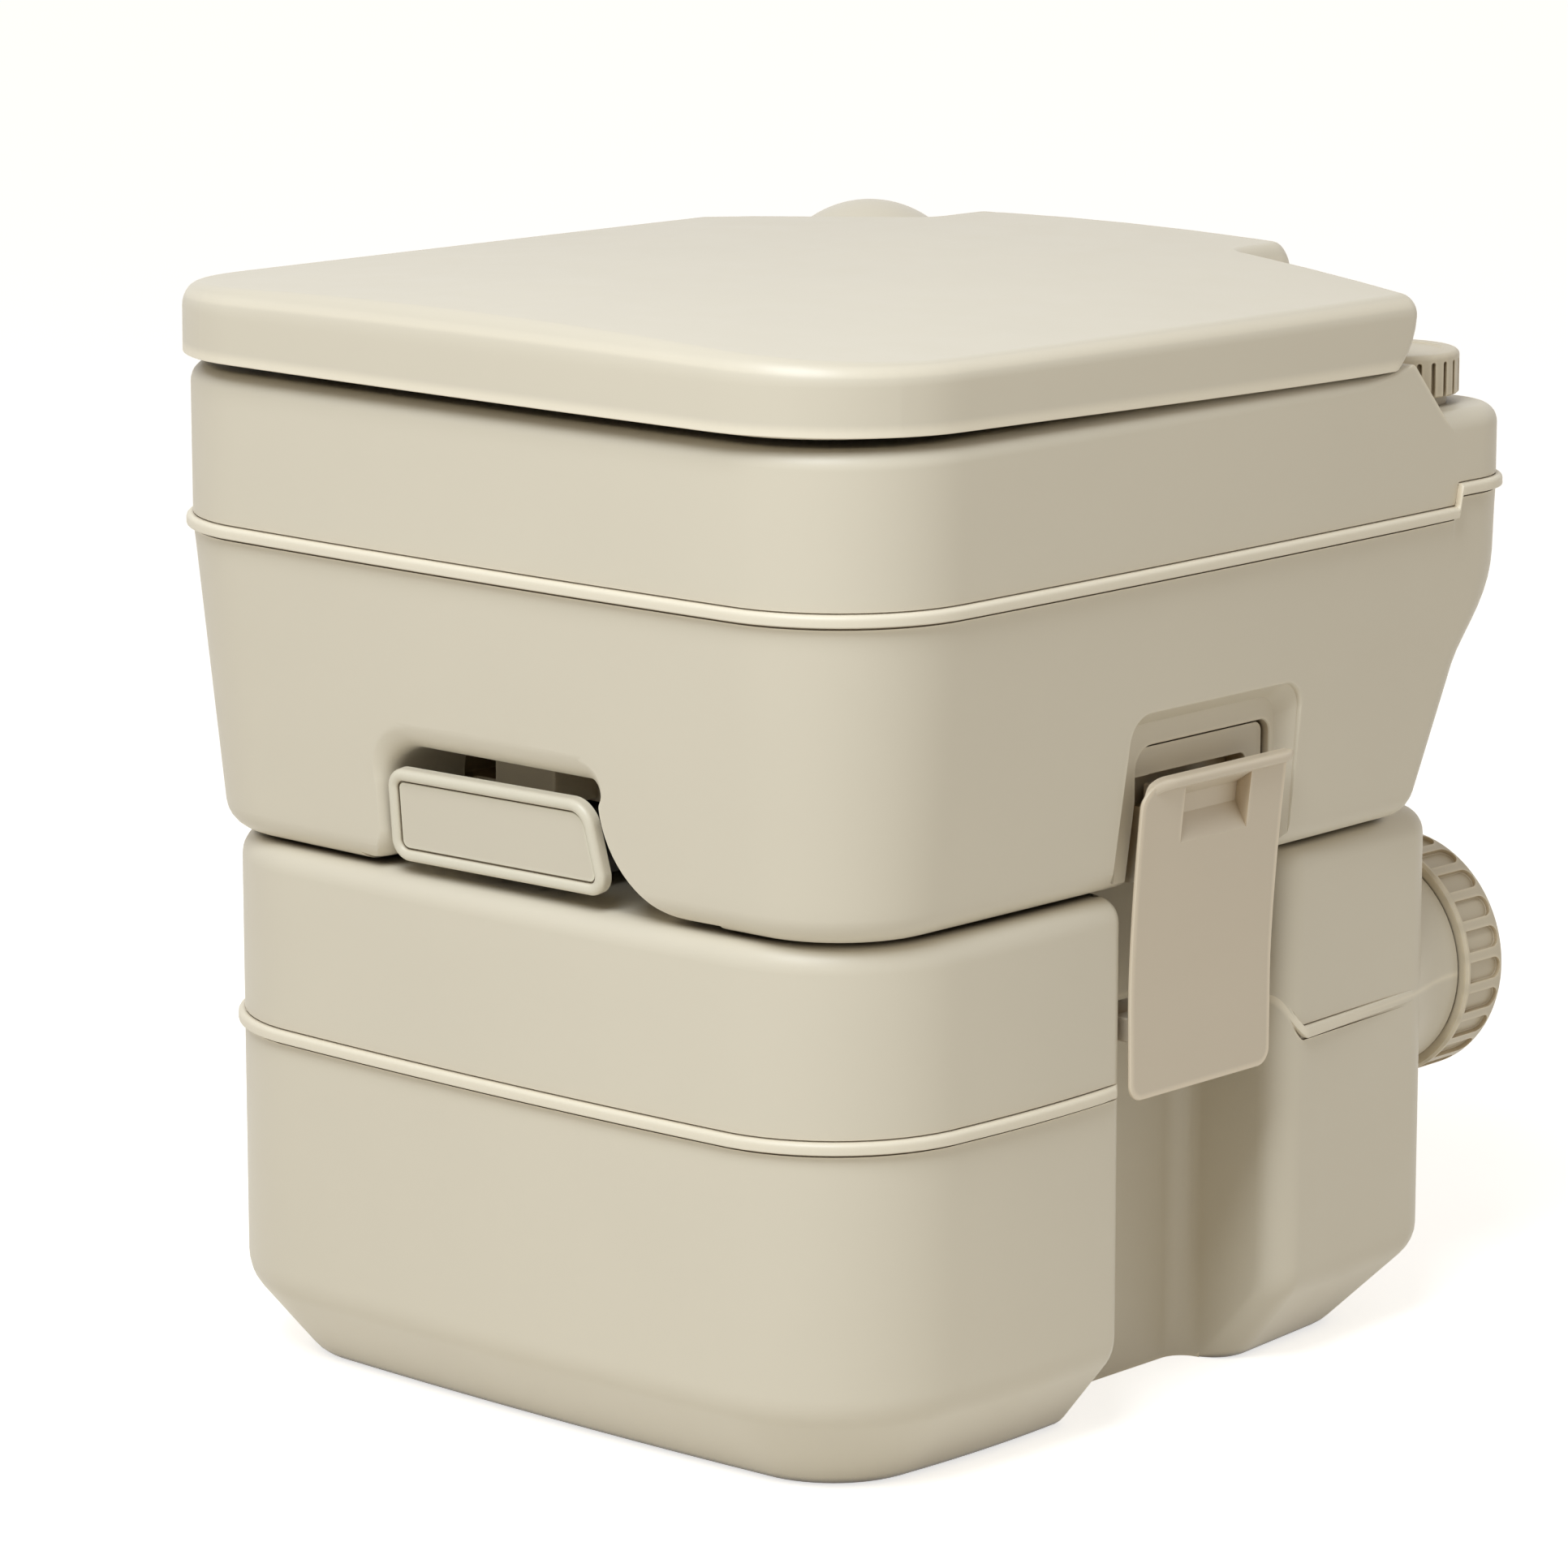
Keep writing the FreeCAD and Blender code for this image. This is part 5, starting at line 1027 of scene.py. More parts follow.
def shelf_drop(y):
    """How far the top lies under the deck, with the slope's ends rounded."""
    steps = range(-SHELF_SAMPLES, SHELF_SAMPLES + 1)
    samples = [y + SHELF_SOFT * k / SHELF_SAMPLES for k in steps]
    drops = [SHELF_DROP * min(1, max(0, (s - DECK_END) / (SHELF_START - DECK_END))) for s in samples]
    return sum(drops) / len(drops)


def lower_shelf(place):
    """Drop the rear of the top to the shelf, with a crisp edge down the slope."""
    foot = FLUSH_SEAM + SHELF_FADE
    share = min(1, max(0, (place.z - foot) / (DECK_TOP - DECK_ROUND - foot)))
    inset = flush_side - abs(place.x)
    if share == 1 and inset <= DECK_ROUND + CRISP_NEAR and abs(place.y - DECK_END) < CRISP_REACH:
        crisp = smooth_step(DECK_END - CRISP_START, DECK_END, place.y)
        slope = SHELF_DROP * max(0, place.y - DECK_END) / (SHELF_START - DECK_END)
        edge = place.z + (DECK_TOP - place.z) * crisp
        place.z = max(edge - slope, place.z - SHELF_DROP)
        return place
    place.z -= shelf_drop(place.y) * share
    return place


def round_post(name, x, y, radius, bottom, top):
    """An upright round post with a softened top edge."""
    foot = top - POST_EDGE
    steps = [(0, bottom), (0, foot)] + bend_in(0, foot, -POST_EDGE, POST_EDGE, 3)
    return raised(name, walls(round_plan(radius, POST_POINTS, x, y), steps))


def side_plate(name, points, inner, outer, edge):
    """A plate across the hinge, between two distances from the middle, with its edges broken."""
    steps = [(-edge, inner), (0, inner + edge), (0, outer - edge), (-edge, outer)]
    plate = raised(name, walls(points, steps))
    plate.data.transform(STAND_SIDE)
    return plate


deck_edge = DECK_TOP - DECK_ROUND
bead_top = FLUSH_SEAM + BEAD_HALF + BEAD_GROOVE_HIGH
deck = raised("flush_tank_top_shell", walls(
    flush_plan,
    [(-SHELL_WALL, FLUSH_SEAM + TUB_HOLLOW), (-SHELL_WALL, FLUSH_SEAM)]
    + bead_over(FLUSH_SEAM)
    + [(0, level) for level in rows(bead_top, deck_edge, DECK_ROWS)[1:]]
    + bend_in(0, deck_edge, -DECK_ROUND, DECK_ROUND, 8),
))
slice_rows(deck, 1, rows(DECK_END - SHELF_SOFT, SHELF_START + DECK_ROUND + SHELF_SPARE, SHELF_ROWS))
shape(deck, lower_shelf)
shape(deck, stepped_seam)
combine(deck, bowl_form("bowl_outside", BOWL_WALL, FLUSH_SEAM + TUB_ROOM, 0), "UNION")
combine(deck, bowl_form("bowl_inside", 0, DECK_TOP, BOWL_LIP))
for post_name, post_radius, post_top in (
    ("fill_collar", FILL_COLLAR_RADIUS, FILL_COLLAR_TOP),
    ("fill_neck", FILL_NECK_RADIUS, FILL_NECK_TOP),
):
    post = round_post(post_name, FILL_PLACE_X, FILL_PLACE_Y, post_radius, SHELF_UNDER, post_top)
    combine(deck, post, "UNION")
ear_plan = four_corners(
    HINGE_Y - EAR_HALF, SHELF_UNDER, HINGE_Y + EAR_HALF, HINGE_Z + EAR_HALF, 0, EAR_ROUND,
)
combine_pair(deck, side_plate("hinge_ear", ear_plan, EAR_INNER, EAR_INNER + EAR_WIDTH, EAR_EDGE), "UNION")
finish_piece(deck, flush_finish, "root", ["flush_tank_top"])


# Slide valve between the tanks
# Frame, cover and blade are moulded from grey filled plastic and held on the tank by steel screws. A gasket
# and a lip seal of black rubber keep it tight. The shapes come straight from the solids.
VALVE_GREY = (0.052, 0.050, 0.047)
VALVE_ROUGHNESS = 0.50
VALVE_CLOUD = 0.08
BLADE_GREY = (0.115, 0.110, 0.102)
BLADE_ROUGHNESS = 0.38
BLADE_CLOUD = 0.06
RUBBER_BLACK = (0.020, 0.020, 0.021)
RUBBER_ROUGHNESS = 0.72
RUBBER_GRAIN = 0.00008
RUBBER_CLOUD = 0.15
STEEL_GREY = (0.56, 0.56, 0.57)
STEEL_SHADES = (0.9, 1.08)
STEEL_MARKS = 900
STEEL_DETAIL = 3
STEEL_GLOSS = (0.22, 0.42)


def marked_finish(name, colour, shades, scale, detail, gloss, sockets):
    """A smooth finish whose colour and gloss waver together with one fine noise."""
    finish, tree, skin, place = new_finish(name)
    for socket, value in sockets.items():
        skin.inputs[socket].default_value = value
    noise = add_node(tree, "TexNoise", {"Vector": place, "Scale": scale, "Detail": detail})
    marks = noise.outputs["Fac"]
    tint = mixed(tree, marks, opaque(colour, shades[0]), opaque(colour, shades[1]))
    tree.links.new(tint, skin.inputs["Base Color"])
    tree.links.new(fitted(tree, marks, to_min=gloss[0], to_max=gloss[1]), skin.inputs["Roughness"])
    return finish


def dress(finish, *nodes):
    """Give solids that show as they are their finish."""
    for node in nodes:
        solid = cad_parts[node]
        solid.data.materials.clear()
        solid.data.materials.append(finish)


valve_finish = moulded_plastic("grey_valve", VALVE_GREY, VALVE_ROUGHNESS, cloud=VALVE_CLOUD)
blade_finish = moulded_plastic("grey_blade", BLADE_GREY, BLADE_ROUGHNESS, cloud=BLADE_CLOUD)
rubber_finish = moulded_plastic("black_rubber", RUBBER_BLACK, RUBBER_ROUGHNESS, RUBBER_GRAIN, RUBBER_CLOUD)
steel_finish = marked_finish(
    "turned_steel", STEEL_GREY, STEEL_SHADES, STEEL_MARKS, STEEL_DETAIL, STEEL_GLOSS, {"Metallic": 1.0},
)
dress(valve_finish, "valve_frame", "valve_cover")
dress(blade_finish, "valve_blade")
dress(rubber_finish, "valve_gasket", "outlet_seal", "fill_gasket", "spout_gasket")
dress(
    steel_finish, "valve_screws", "handle_screws",
    "right_hinge_pin", "left_hinge_pin", "right_latch_pin", "left_latch_pin",
)


# Valve handle
# A leaning plate of ivory plastic with a rolled rim round a flat panel, moulded in one with the boss behind
# it that two screws hold on the valve's stem.
HANDLE_LEFT = (-0.0527, -0.0513)
HANDLE_RIGHT = (0.0548, 0.0490)
HANDLE_RISE = 0.0012
HANDLE_HEIGHT = 0.035
HANDLE_THICK = 0.006
HANDLE_BACK = 0.1637
HANDLE_BACK_EDGE = 0.001
HANDLE_FOOT = 0.206
HANDLE_TILT = math.radians(7)
HANDLE_CORNER = 0.0078
HANDLE_TOP_CORNER = 0.011
HANDLE_RIM = 0.0044
HANDLE_SHADE = 0.96
HANDLE_ROUGHNESS = 0.38
# Painted highlight: the handle's rim is painted paler, with a wider reach and a stronger gain than on the
# other pieces.
HANDLE_HIGHLIGHT_REACH = 0.0034
HANDLE_HIGHLIGHT_GAIN = 1.5
PANEL_SINK = 0.0016
GROOVE_WIDTH = 0.0007
GROOVE_DEPTH = 0.0009
GROOVE_LIP = 0.0003
GROOVE_LIP_DROP = 0.0002
BOSS_HALF = 0.020
BOSS_BOTTOM = 0.2107
BOSS_TOP = 0.2217
BOSS_REAR = 0.1457
BOSS_EDGE = 0.001

handle_plan = outline([
    (HANDLE_LEFT[0], 0, HANDLE_CORNER),
    (HANDLE_RIGHT[0], HANDLE_RISE, HANDLE_CORNER),
    (HANDLE_RIGHT[1], HANDLE_HEIGHT + HANDLE_RISE, HANDLE_TOP_CORNER),
    (HANDLE_LEFT[1], HANDLE_HEIGHT, HANDLE_CORNER),
])
rim_half = HANDLE_RIM / 2
rim_foot = HANDLE_THICK - rim_half
panel_face = HANDLE_THICK - PANEL_SINK
groove_end = -HANDLE_RIM - GROOVE_WIDTH
handle_steps = [(-HANDLE_BACK_EDGE, 0), (0, HANDLE_BACK_EDGE), (0, rim_foot)]
handle_steps += bend_in(0, rim_foot, -rim_half, rim_half, 6)
handle_steps += bend_out(-rim_half, HANDLE_THICK, -rim_half, panel_face - HANDLE_THICK, 6)
handle_steps += [
    (-HANDLE_RIM, panel_face - GROOVE_DEPTH),
    (groove_end, panel_face - GROOVE_DEPTH),
    (groove_end, panel_face - GROOVE_LIP_DROP),
    (groove_end - GROOVE_LIP, panel_face),
]
handle = raised("valve_handle_pull", walls(handle_plan, handle_steps))
handle.data.transform(STAND_FRONT)
handle_place = Matrix.Translation((0, -HANDLE_BACK, HANDLE_FOOT))
handle.data.transform(handle_place @ Matrix.Rotation(HANDLE_TILT, 4, "X"))
combine(handle, block(
    "handle_boss",
    (-BOSS_HALF, -HANDLE_BACK - HANDLE_THICK / 2, BOSS_BOTTOM),
    (BOSS_HALF, -BOSS_REAR, BOSS_TOP),
    BOSS_EDGE,
), "UNION")
handle_finish = moulded_plastic(
    "ivory_handle", [c * HANDLE_SHADE for c in IVORY], HANDLE_ROUGHNESS,
    reach=HANDLE_HIGHLIGHT_REACH, gain=HANDLE_HIGHLIGHT_GAIN,
)
finish_piece(handle, handle_finish, "valve", ["valve_handle"])


# Side latches
# Each is a bent plate of ivory plastic that hangs from a steel pin across the waist of the holding tank. Its
# hook snaps into the flush tank's catch, and a rolled ledge and a pocket under it take the fingers.
LATCH_FRONT = -0.0205
LATCH_FRONT_TOP = -0.0226
LATCH_REAR = 0.0597
LATCH_BOTTOM = 0.1245
LATCH_TOP = 0.2405
LATCH_CORNER = 0.0065
LATCH_CORNER_REAR = 0.004
LATCH_CORNER_FRONT = 0.008
LATCH_FACE = 0.1708
LATCH_THICK = 0.0042
LATCH_LEAN = 0.0066
LATCH_LEAN_START = 0.160
LATCH_LEAN_POWER = 1.5
LATCH_LEAN_ROWS = 14
LATCH_EDGE = 0.0006
LATCH_RIM = 0.0011
LATCH_UNDERCUT = 0.0036
LATCH_SHADE = (0.95, 0.905, 0.875)
LATCH_ROUGHNESS = 0.40
LATCH_SMOOTH = 22
LEDGE_FRONT = -0.0180
LEDGE_REAR = 0.0628
LEDGE_FOOT = LATCH_TOP - 0.0020
LEDGE_HALF = 0.0021
LEDGE_ROUND = LEDGE_HALF - 0.0001
LEDGE_BLUNT = 0.0003
LEDGE_OUT = 0.0030
LEDGE_ROOT = 0.001
LEDGE_ROW = 0.003
LEDGE_ROWS = 27
LEDGE_FADE = 0.010
LEDGE_FADE_REAR = 0.6
LEDGE_REAR_SHARE = 0.25
LEDGE_BEND = 0.0055
LEDGE_BEND_RUN = 0.009
LEDGE_BEND_LIMIT = 0.96
FINGER_Y = (0.0012, 0.0390)
FINGER_DEPTH = 0.0062
FINGER_BEYOND = 0.004
FINGER_LOW = (0.2145, 0.2170, 0.2262)
FINGER_HIGH = (0.2332, 0.2378)
FINGER_WALL = 0.0034
FINGER_SIDE = 0.004
FINGER_BACK_LOW = 0.2130
FINGER_BACK_IN = 0.002
FINGER_BACK_DROP = 0.001
HOOK_TIP = 0.158
HOOK_INSET = 0.0205
HOOK_Z = (0.230, 0.237)
HOOK_EDGE = 0.0012
HOOK_BEHIND = 0.0008
LATCH_PIN_X = 0.154
LATCH_PIN_Z = 0.150
WEB_INSET = 0.003
WEB_HALF = 0.0045
WEB_ROOT = 0.001
WEB_EDGE = 0.0008
LATCH_HUB = 0.007
HUB_POINTS = 48
HUB_SHORT = 0.002


def lean_at(height):
    """How far the latch's upper part stands out at a height."""
    rise = max(0, (height - LATCH_LEAN_START) / (LATCH_TOP - LATCH_LEAN_START))
    return LATCH_LEAN * rise ** LATCH_LEAN_POWER


def latch_lean(place):
    """Bend the latch's upper part out to follow the flush tank."""
    place.x += lean_at(place.z)
    return place


def ledge_taper(place):
    """Let the ledge run out at both ends, and turn down round the plate's front corner."""
    front = smooth_step(LEDGE_FRONT - 2 * LEDGE_ROOT, LEDGE_FRONT + LEDGE_FADE, place.y)
    rear = smooth_step(LEDGE_REAR + LEDGE_ROOT, LEDGE_REAR - LEDGE_FADE * LEDGE_FADE_REAR, place.y)
    share = min(front, LEDGE_REAR_SHARE + (1 - LEDGE_REAR_SHARE) * rear)
    place.x -= max(0, place.x - LATCH_FACE + LEDGE_ROOT) * (1 - share)
    turn = min(1, max(0, (LEDGE_FRONT + LEDGE_BEND_RUN - place.y) / LEDGE_BEND_RUN))
    place.z -= LEDGE_BEND * (1 - math.sqrt(1 - turn ** 2 * LEDGE_BEND_LIMIT))
    return place


plate_plan = outline([
    (LATCH_FRONT, LATCH_BOTTOM, LATCH_CORNER),
    (LATCH_REAR, LATCH_BOTTOM, LATCH_CORNER),
    (LATCH_REAR, LATCH_TOP, LATCH_CORNER_REAR),
    (LATCH_FRONT_TOP, LATCH_TOP, LATCH_CORNER_FRONT),
])
latch_back = LATCH_FACE - LATCH_THICK
plate_edge = LATCH_FACE - LATCH_EDGE
plate_steps = [(-LATCH_UNDERCUT, latch_back), (0, LATCH_FACE - LATCH_RIM), (0, plate_edge)]
plate_steps += bend_in(0, plate_edge, -LATCH_EDGE, LATCH_EDGE, 4)
latch = raised("right_latch_plate", walls(plate_plan, plate_steps))
latch.data.transform(STAND_SIDE)
combine(latch, block(
    "pocket_back",
    (LATCH_FACE - FINGER_DEPTH - FINGER_WALL, FINGER_Y[0] - FINGER_SIDE, FINGER_BACK_LOW),
    (LATCH_FACE - FINGER_BACK_IN, FINGER_Y[1] + FINGER_SIDE, LATCH_TOP - FINGER_BACK_DROP),
), "UNION")
slice_rows(latch, 2, rows(LATCH_LEAN_START, LATCH_TOP, LATCH_LEAN_ROWS)[:-1])
pocket_side = outline([
    (LATCH_FACE + FINGER_BEYOND, FINGER_LOW[0]),
    (LATCH_FACE + FINGER_BEYOND, FINGER_HIGH[1]),
    (LATCH_FACE, FINGER_HIGH[1]),
    (LATCH_FACE - FINGER_DEPTH, FINGER_HIGH[0]),
    (LATCH_FACE - FINGER_DEPTH, FINGER_LOW[2]),
    (LATCH_FACE, FINGER_LOW[1]),
])
pocket_cut = raised("finger_pocket", walls(pocket_side, [(0, -FINGER_Y[1]), (0, -FINGER_Y[0])]))
pocket_cut.data.transform(STAND_FRONT)
combine(latch, pocket_cut)
ledge_plan = four_corners(
    LEDGE_FRONT, LEDGE_FOOT, LEDGE_REAR, LEDGE_FOOT + 2 * LEDGE_HALF, LEDGE_ROUND, LEDGE_ROUND,
)
ledge_face = LATCH_FACE + LEDGE_OUT - LEDGE_HALF
ledge_steps = [(0, latch_back + LEDGE_ROOT), (0, LATCH_FACE - LEDGE_ROOT), (0, ledge_face)]
ledge_steps += bend_in(0, ledge_face, LEDGE_BLUNT - LEDGE_HALF, LEDGE_HALF, 6)
ledge = raised("latch_ledge", walls(ledge_plan, ledge_steps))
ledge.data.transform(STAND_SIDE)
slice_rows(ledge, 1, [LEDGE_FRONT + LEDGE_ROW * k for k in range(1, LEDGE_ROWS)])
shape(ledge, ledge_taper)
combine(latch, ledge, "UNION")
shape(latch, latch_lean)
hook_root = LATCH_FACE - FINGER_DEPTH + lean_at(HOOK_Z[0]) - HOOK_BEHIND
combine(latch, block(
    "latch_hook",
    (HOOK_TIP, LATCH_FRONT + HOOK_INSET, HOOK_Z[0]),
    (hook_root, LATCH_REAR - HOOK_INSET, HOOK_Z[1]),
    HOOK_EDGE,
), "UNION")
combine(latch, block(
    "latch_web",
    (LATCH_PIN_X, LATCH_FRONT + WEB_INSET, LATCH_PIN_Z - WEB_HALF),
    (latch_back + WEB_ROOT, LATCH_REAR - WEB_INSET, LATCH_PIN_Z + WEB_HALF),
    WEB_EDGE,
), "UNION")
bpy.ops.mesh.primitive_cylinder_add(
    vertices=HUB_POINTS, radius=LATCH_HUB, depth=LATCH_REAR - LATCH_FRONT - HUB_SHORT,
    location=(LATCH_PIN_X, (LATCH_REAR + LATCH_FRONT) / 2, LATCH_PIN_Z), rotation=(math.pi / 2, 0, 0),
)
hub = bpy.context.object
bpy.ops.object.transform_apply()
combine(latch, hub, "UNION")
left_latch = mirror_copy(latch, "left_latch_plate")
latch_ivory = [c * f for c, f in zip(IVORY, LATCH_SHADE)]
latch_finish = moulded_plastic("ivory_latch", latch_ivory, LATCH_ROUGHNESS)
finish_piece(latch, latch_finish, "right_latch", ["right_latch"], LATCH_SMOOTH)
finish_piece(left_latch, latch_finish, "left_latch", ["left_latch"], LATCH_SMOOTH)


# Seat
# A moulded ring of ivory plastic with a rounded hole, held by two arms on the hinge pins. It stands on
# rubber buffers.
SEAT_HALF = 0.171
SEAT_FRONT = -0.178
SEAT_REAR = 0.116
SEAT_CORNER = 0.051
SEAT_REAR_CORNER = 0.022
SEAT_BOTTOM = 0.379
SEAT_TOP = 0.394
SEAT_ROUND = 0.005
SEAT_EDGE = 0.0015
SEAT_EDGE_IN = 0.0004
SEAT_HOLE = (0.098, 0.142, 0.088)
SEAT_BEYOND = 0.01
SEAT_LIP = 0.006
SEAT_ROUGHNESS = 0.34
ARM_INNER = 0.0446
ARM_OUTER = 0.0571
ARM_EDGE = 0.0008
ARM_START = 0.012
ARM_LIFT = 0.0005
ARM_DROP = 0.001
ARM_CORNER = 0.002
ARM_ROUND = (EAR_HALF - 0.0008, EAR_HALF - 0.0012)

seat_plan = outline(mirrored([
    (SEAT_HALF, SEAT_FRONT, SEAT_CORNER),
    (SEAT_HALF, SEAT_REAR, SEAT_REAR_CORNER),
]))
seat_shoulder = SEAT_TOP - SEAT_ROUND
seat_steps = [(-SEAT_EDGE, SEAT_BOTTOM), (-SEAT_EDGE_IN, SEAT_BOTTOM + SEAT_EDGE_IN)]
seat_steps += [(0, SEAT_BOTTOM + SEAT_EDGE), (0, seat_shoulder)]
seat_steps += bend_in(0, seat_shoulder, -SEAT_ROUND, SEAT_ROUND, 8)
seat = raised("seat_ring", walls(seat_plan, seat_steps))
hole_half, hole_front, hole_rear = SEAT_HOLE
hole_round = hole_half - NEARLY_ROUND
hole_plan = outline(mirrored([(hole_half, -hole_front, hole_round), (hole_half, hole_rear, hole_round)]))
lip_foot = SEAT_TOP - SEAT_LIP
hole_steps = [(0, SEAT_BOTTOM - SEAT_BEYOND), (0, lip_foot)] + bend_in(0, lip_foot, SEAT_LIP, SEAT_LIP, 8)
hole_steps += [(SEAT_LIP, SEAT_TOP + SEAT_BEYOND)]
combine(seat, raised("seat_hole", walls(hole_plan, hole_steps)))
arm_plan = outline([
    (SEAT_REAR - ARM_START, SEAT_BOTTOM + ARM_LIFT, ARM_CORNER),
    (HINGE_Y - ARM_START, SEAT_BOTTOM + ARM_LIFT, ARM_CORNER),
    (HINGE_Y + EAR_HALF, HINGE_Z - EAR_HALF, ARM_ROUND[0]),
    (HINGE_Y + EAR_HALF, HINGE_Z + EAR_HALF - ARM_DROP, ARM_ROUND[1]),
    (HINGE_Y - ARM_START, SEAT_TOP - ARM_DROP, ARM_CORNER),
    (SEAT_REAR - ARM_START, SEAT_TOP - ARM_DROP, ARM_CORNER),
])
combine_pair(seat, side_plate("seat_arm", arm_plan, ARM_INNER, ARM_OUTER, ARM_EDGE), "UNION")
seat_finish = moulded_plastic("ivory_seat", IVORY, SEAT_ROUGHNESS)
finish_piece(seat, seat_finish, "seat", ["seat"])
dress(rubber_finish, "seat_bumpers", "lid_bumpers")


# Lid
# A shallow moulded cover of ivory plastic with a crowned top, rounded corners and a tongue at the rear whose
# two lugs turn on the hinge pins. Two posts under it rest on the seat through rubber buffers.
LID_HALF = 0.180
LID_FRONT = -0.187
LID_REAR = 0.1325
LID_SLOPE = 0.0225
LID_BOTTOM = 0.377
LID_EDGE = 0.401
LID_ROUND = 0.007
LID_CROWN = 0.006
LID_CROWN_REAR = 0.008
LID_CROWN_CHANGE = (-0.05, 0.15)
LID_SAG = 0.0028
LID_WALL = 0.003
LID_ROWS = 4
LID_SLICE = 0.030
LID_SLICES_X = range(-5, 6)
LID_SLICES_Y = range(-5, 5)
LID_ROUGHNESS = 0.40
SKIRT_THIN = 0.0060
SKIRT_EDGE = ((-0.0014, 0.0005), (-0.0010, 0), (-0.0003, 0), (0, 0.0003))
SKIRT_RISE = 0.0015
LID_CORNER = 0.062
LID_SIDE_BOW = 0.0012
LID_FRONT_BOW = 0.0015
LID_REAR_CORNER = 0.0072
LID_TILT = math.radians(0.6)
LID_REAR_SLANT = 0.011
LID_REAR_BAND = (0.030, 0.004)
TONGUE_HALF = 0.0800
TONGUE_REAR = 0.1905
TONGUE_ROUND = 0.010
TONGUE_DROP = 0.0035
TONGUE_CORNER = 0.012
TONGUE_ROOT = 0.005
TONGUE_BAND = (0.004, 0.020)
LUG_INNER = 0.0577
LUG_OUTER = 0.0702
LUG_EDGE = 0.0008
LUG_INTO_LID = 0.002
POST_X = 0.1345
POST_Y = -0.118
POST_RADIUS = 0.008
POST_INTO_LID = 0.001
POST_INTO_BUMPER = 0.0003
EAR_NOTCH = 0.0452
NOTCH_START = 0.176
NOTCH_BEYOND = 0.010
NOTCH_ROOF = 0.0005
NOTCH_CORNER = 0.002
KNOB_ROOM = 0.0048
KNOB_ROOM_X = -0.116
KNOB_ROOM_RUN = 0.030
KNOB_ROOM_SLICES = [-0.135, -0.105]

lid_plan = outline(mirrored([
    (LID_HALF - LID_SIDE_BOW, LID_FRONT + LID_FRONT_BOW, LID_CORNER, LID_SIDE_BOW),
    (LID_HALF, LID_REAR, LID_REAR_CORNER),
    (TONGUE_HALF, LID_REAR + LID_SLOPE, TONGUE_ROOT),
    (TONGUE_HALF, TONGUE_REAR, TONGUE_CORNER),
], LID_FRONT_BOW))
lid_fillet = LID_EDGE - LID_ROUND
lid_steps = [(-LID_WALL, LID_EDGE - LID_WALL), (-LID_WALL, LID_BOTTOM + SKIRT_THIN)]
lid_steps += [(out, LID_BOTTOM + rise) for out, rise in SKIRT_EDGE]
lid_steps += [(0, level) for level in rows(LID_BOTTOM + SKIRT_RISE, lid_fillet, LID_ROWS)]
lid_steps += bend_in(0, lid_fillet, -LID_ROUND, LID_ROUND, 8)
lid = raised("lid_cover", walls(lid_plan, lid_steps))
slice_rows(lid, 0, [LID_SLICE * k for k in LID_SLICES_X] + KNOB_ROOM_SLICES)
slice_rows(lid, 1, [LID_SLICE * k for k in LID_SLICES_Y])


def lid_form(place):
    """Crown the top, round the tongue, let the skirt sag and slant at the rear, and clear the knob."""
    rise = min(1, max(0, (place.z - lid_fillet) / LID_ROUND))
    crown = LID_CROWN + (LID_CROWN_REAR - LID_CROWN) * smooth_step(*LID_CROWN_CHANGE, place.y)
    place.z += crown * rise * (1 - (place.x / LID_HALF) ** 2)
    tip = max(0, (place.y - TONGUE_REAR + TONGUE_ROUND) / TONGUE_ROUND)
    place.z -= TONGUE_DROP * rise * tip ** 2
    beside_tongue = smooth_step(TONGUE_HALF + TONGUE_BAND[0], TONGUE_HALF + TONGUE_BAND[1], abs(place.x))
    near_rear = smooth_step(LID_REAR - LID_REAR_BAND[0], LID_REAR - LID_REAR_BAND[1], place.y)
    place.y -= KNOB_ROOM * near_rear * math.exp(-((place.x - KNOB_ROOM_X) / KNOB_ROOM_RUN) ** 2)
    depth = min(1, max(0, (LID_EDGE - place.z) / (LID_EDGE - LID_BOTTOM)))
    place.y -= LID_REAR_SLANT * beside_tongue * near_rear * depth ** 3
    place.z -= LID_SAG * depth * smooth_step(LID_FRONT, LID_REAR, place.y)
    return place


shape(lid, lid_form)
combine(lid, block(
    "ear_notch",
    (-EAR_NOTCH, NOTCH_START, LID_BOTTOM - NOTCH_BEYOND),
    (EAR_NOTCH, TONGUE_REAR + NOTCH_BEYOND, LID_EDGE - NOTCH_ROOF),
    NOTCH_CORNER,
))
lug_plan = four_corners(
    HINGE_Y - EAR_HALF, HINGE_Z - EAR_HALF, HINGE_Y + EAR_HALF, LID_EDGE + LUG_INTO_LID, EAR_ROUND,
)
combine_pair(lid, side_plate("lid_lug", lug_plan, LUG_INNER, LUG_OUTER, LUG_EDGE), "UNION")
lid_tip = Matrix.Translation((0, HINGE_Y, HINGE_Z)) @ Matrix.Rotation(-LID_TILT, 4, "X")
lid_tip = lid_tip @ Matrix.Translation((0, -HINGE_Y, -HINGE_Z))
lid.data.transform(lid_tip)
post_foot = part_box("lid_bumpers")[1].z - POST_INTO_BUMPER
post = round_post("lid_post", POST_X, POST_Y, POST_RADIUS, post_foot, LID_EDGE + POST_INTO_LID)
combine_pair(lid, post, "UNION")
lid_finish = moulded_plastic("ivory_lid", IVORY, LID_ROUGHNESS)
finish_piece(lid, lid_finish, "lid", ["lid"])


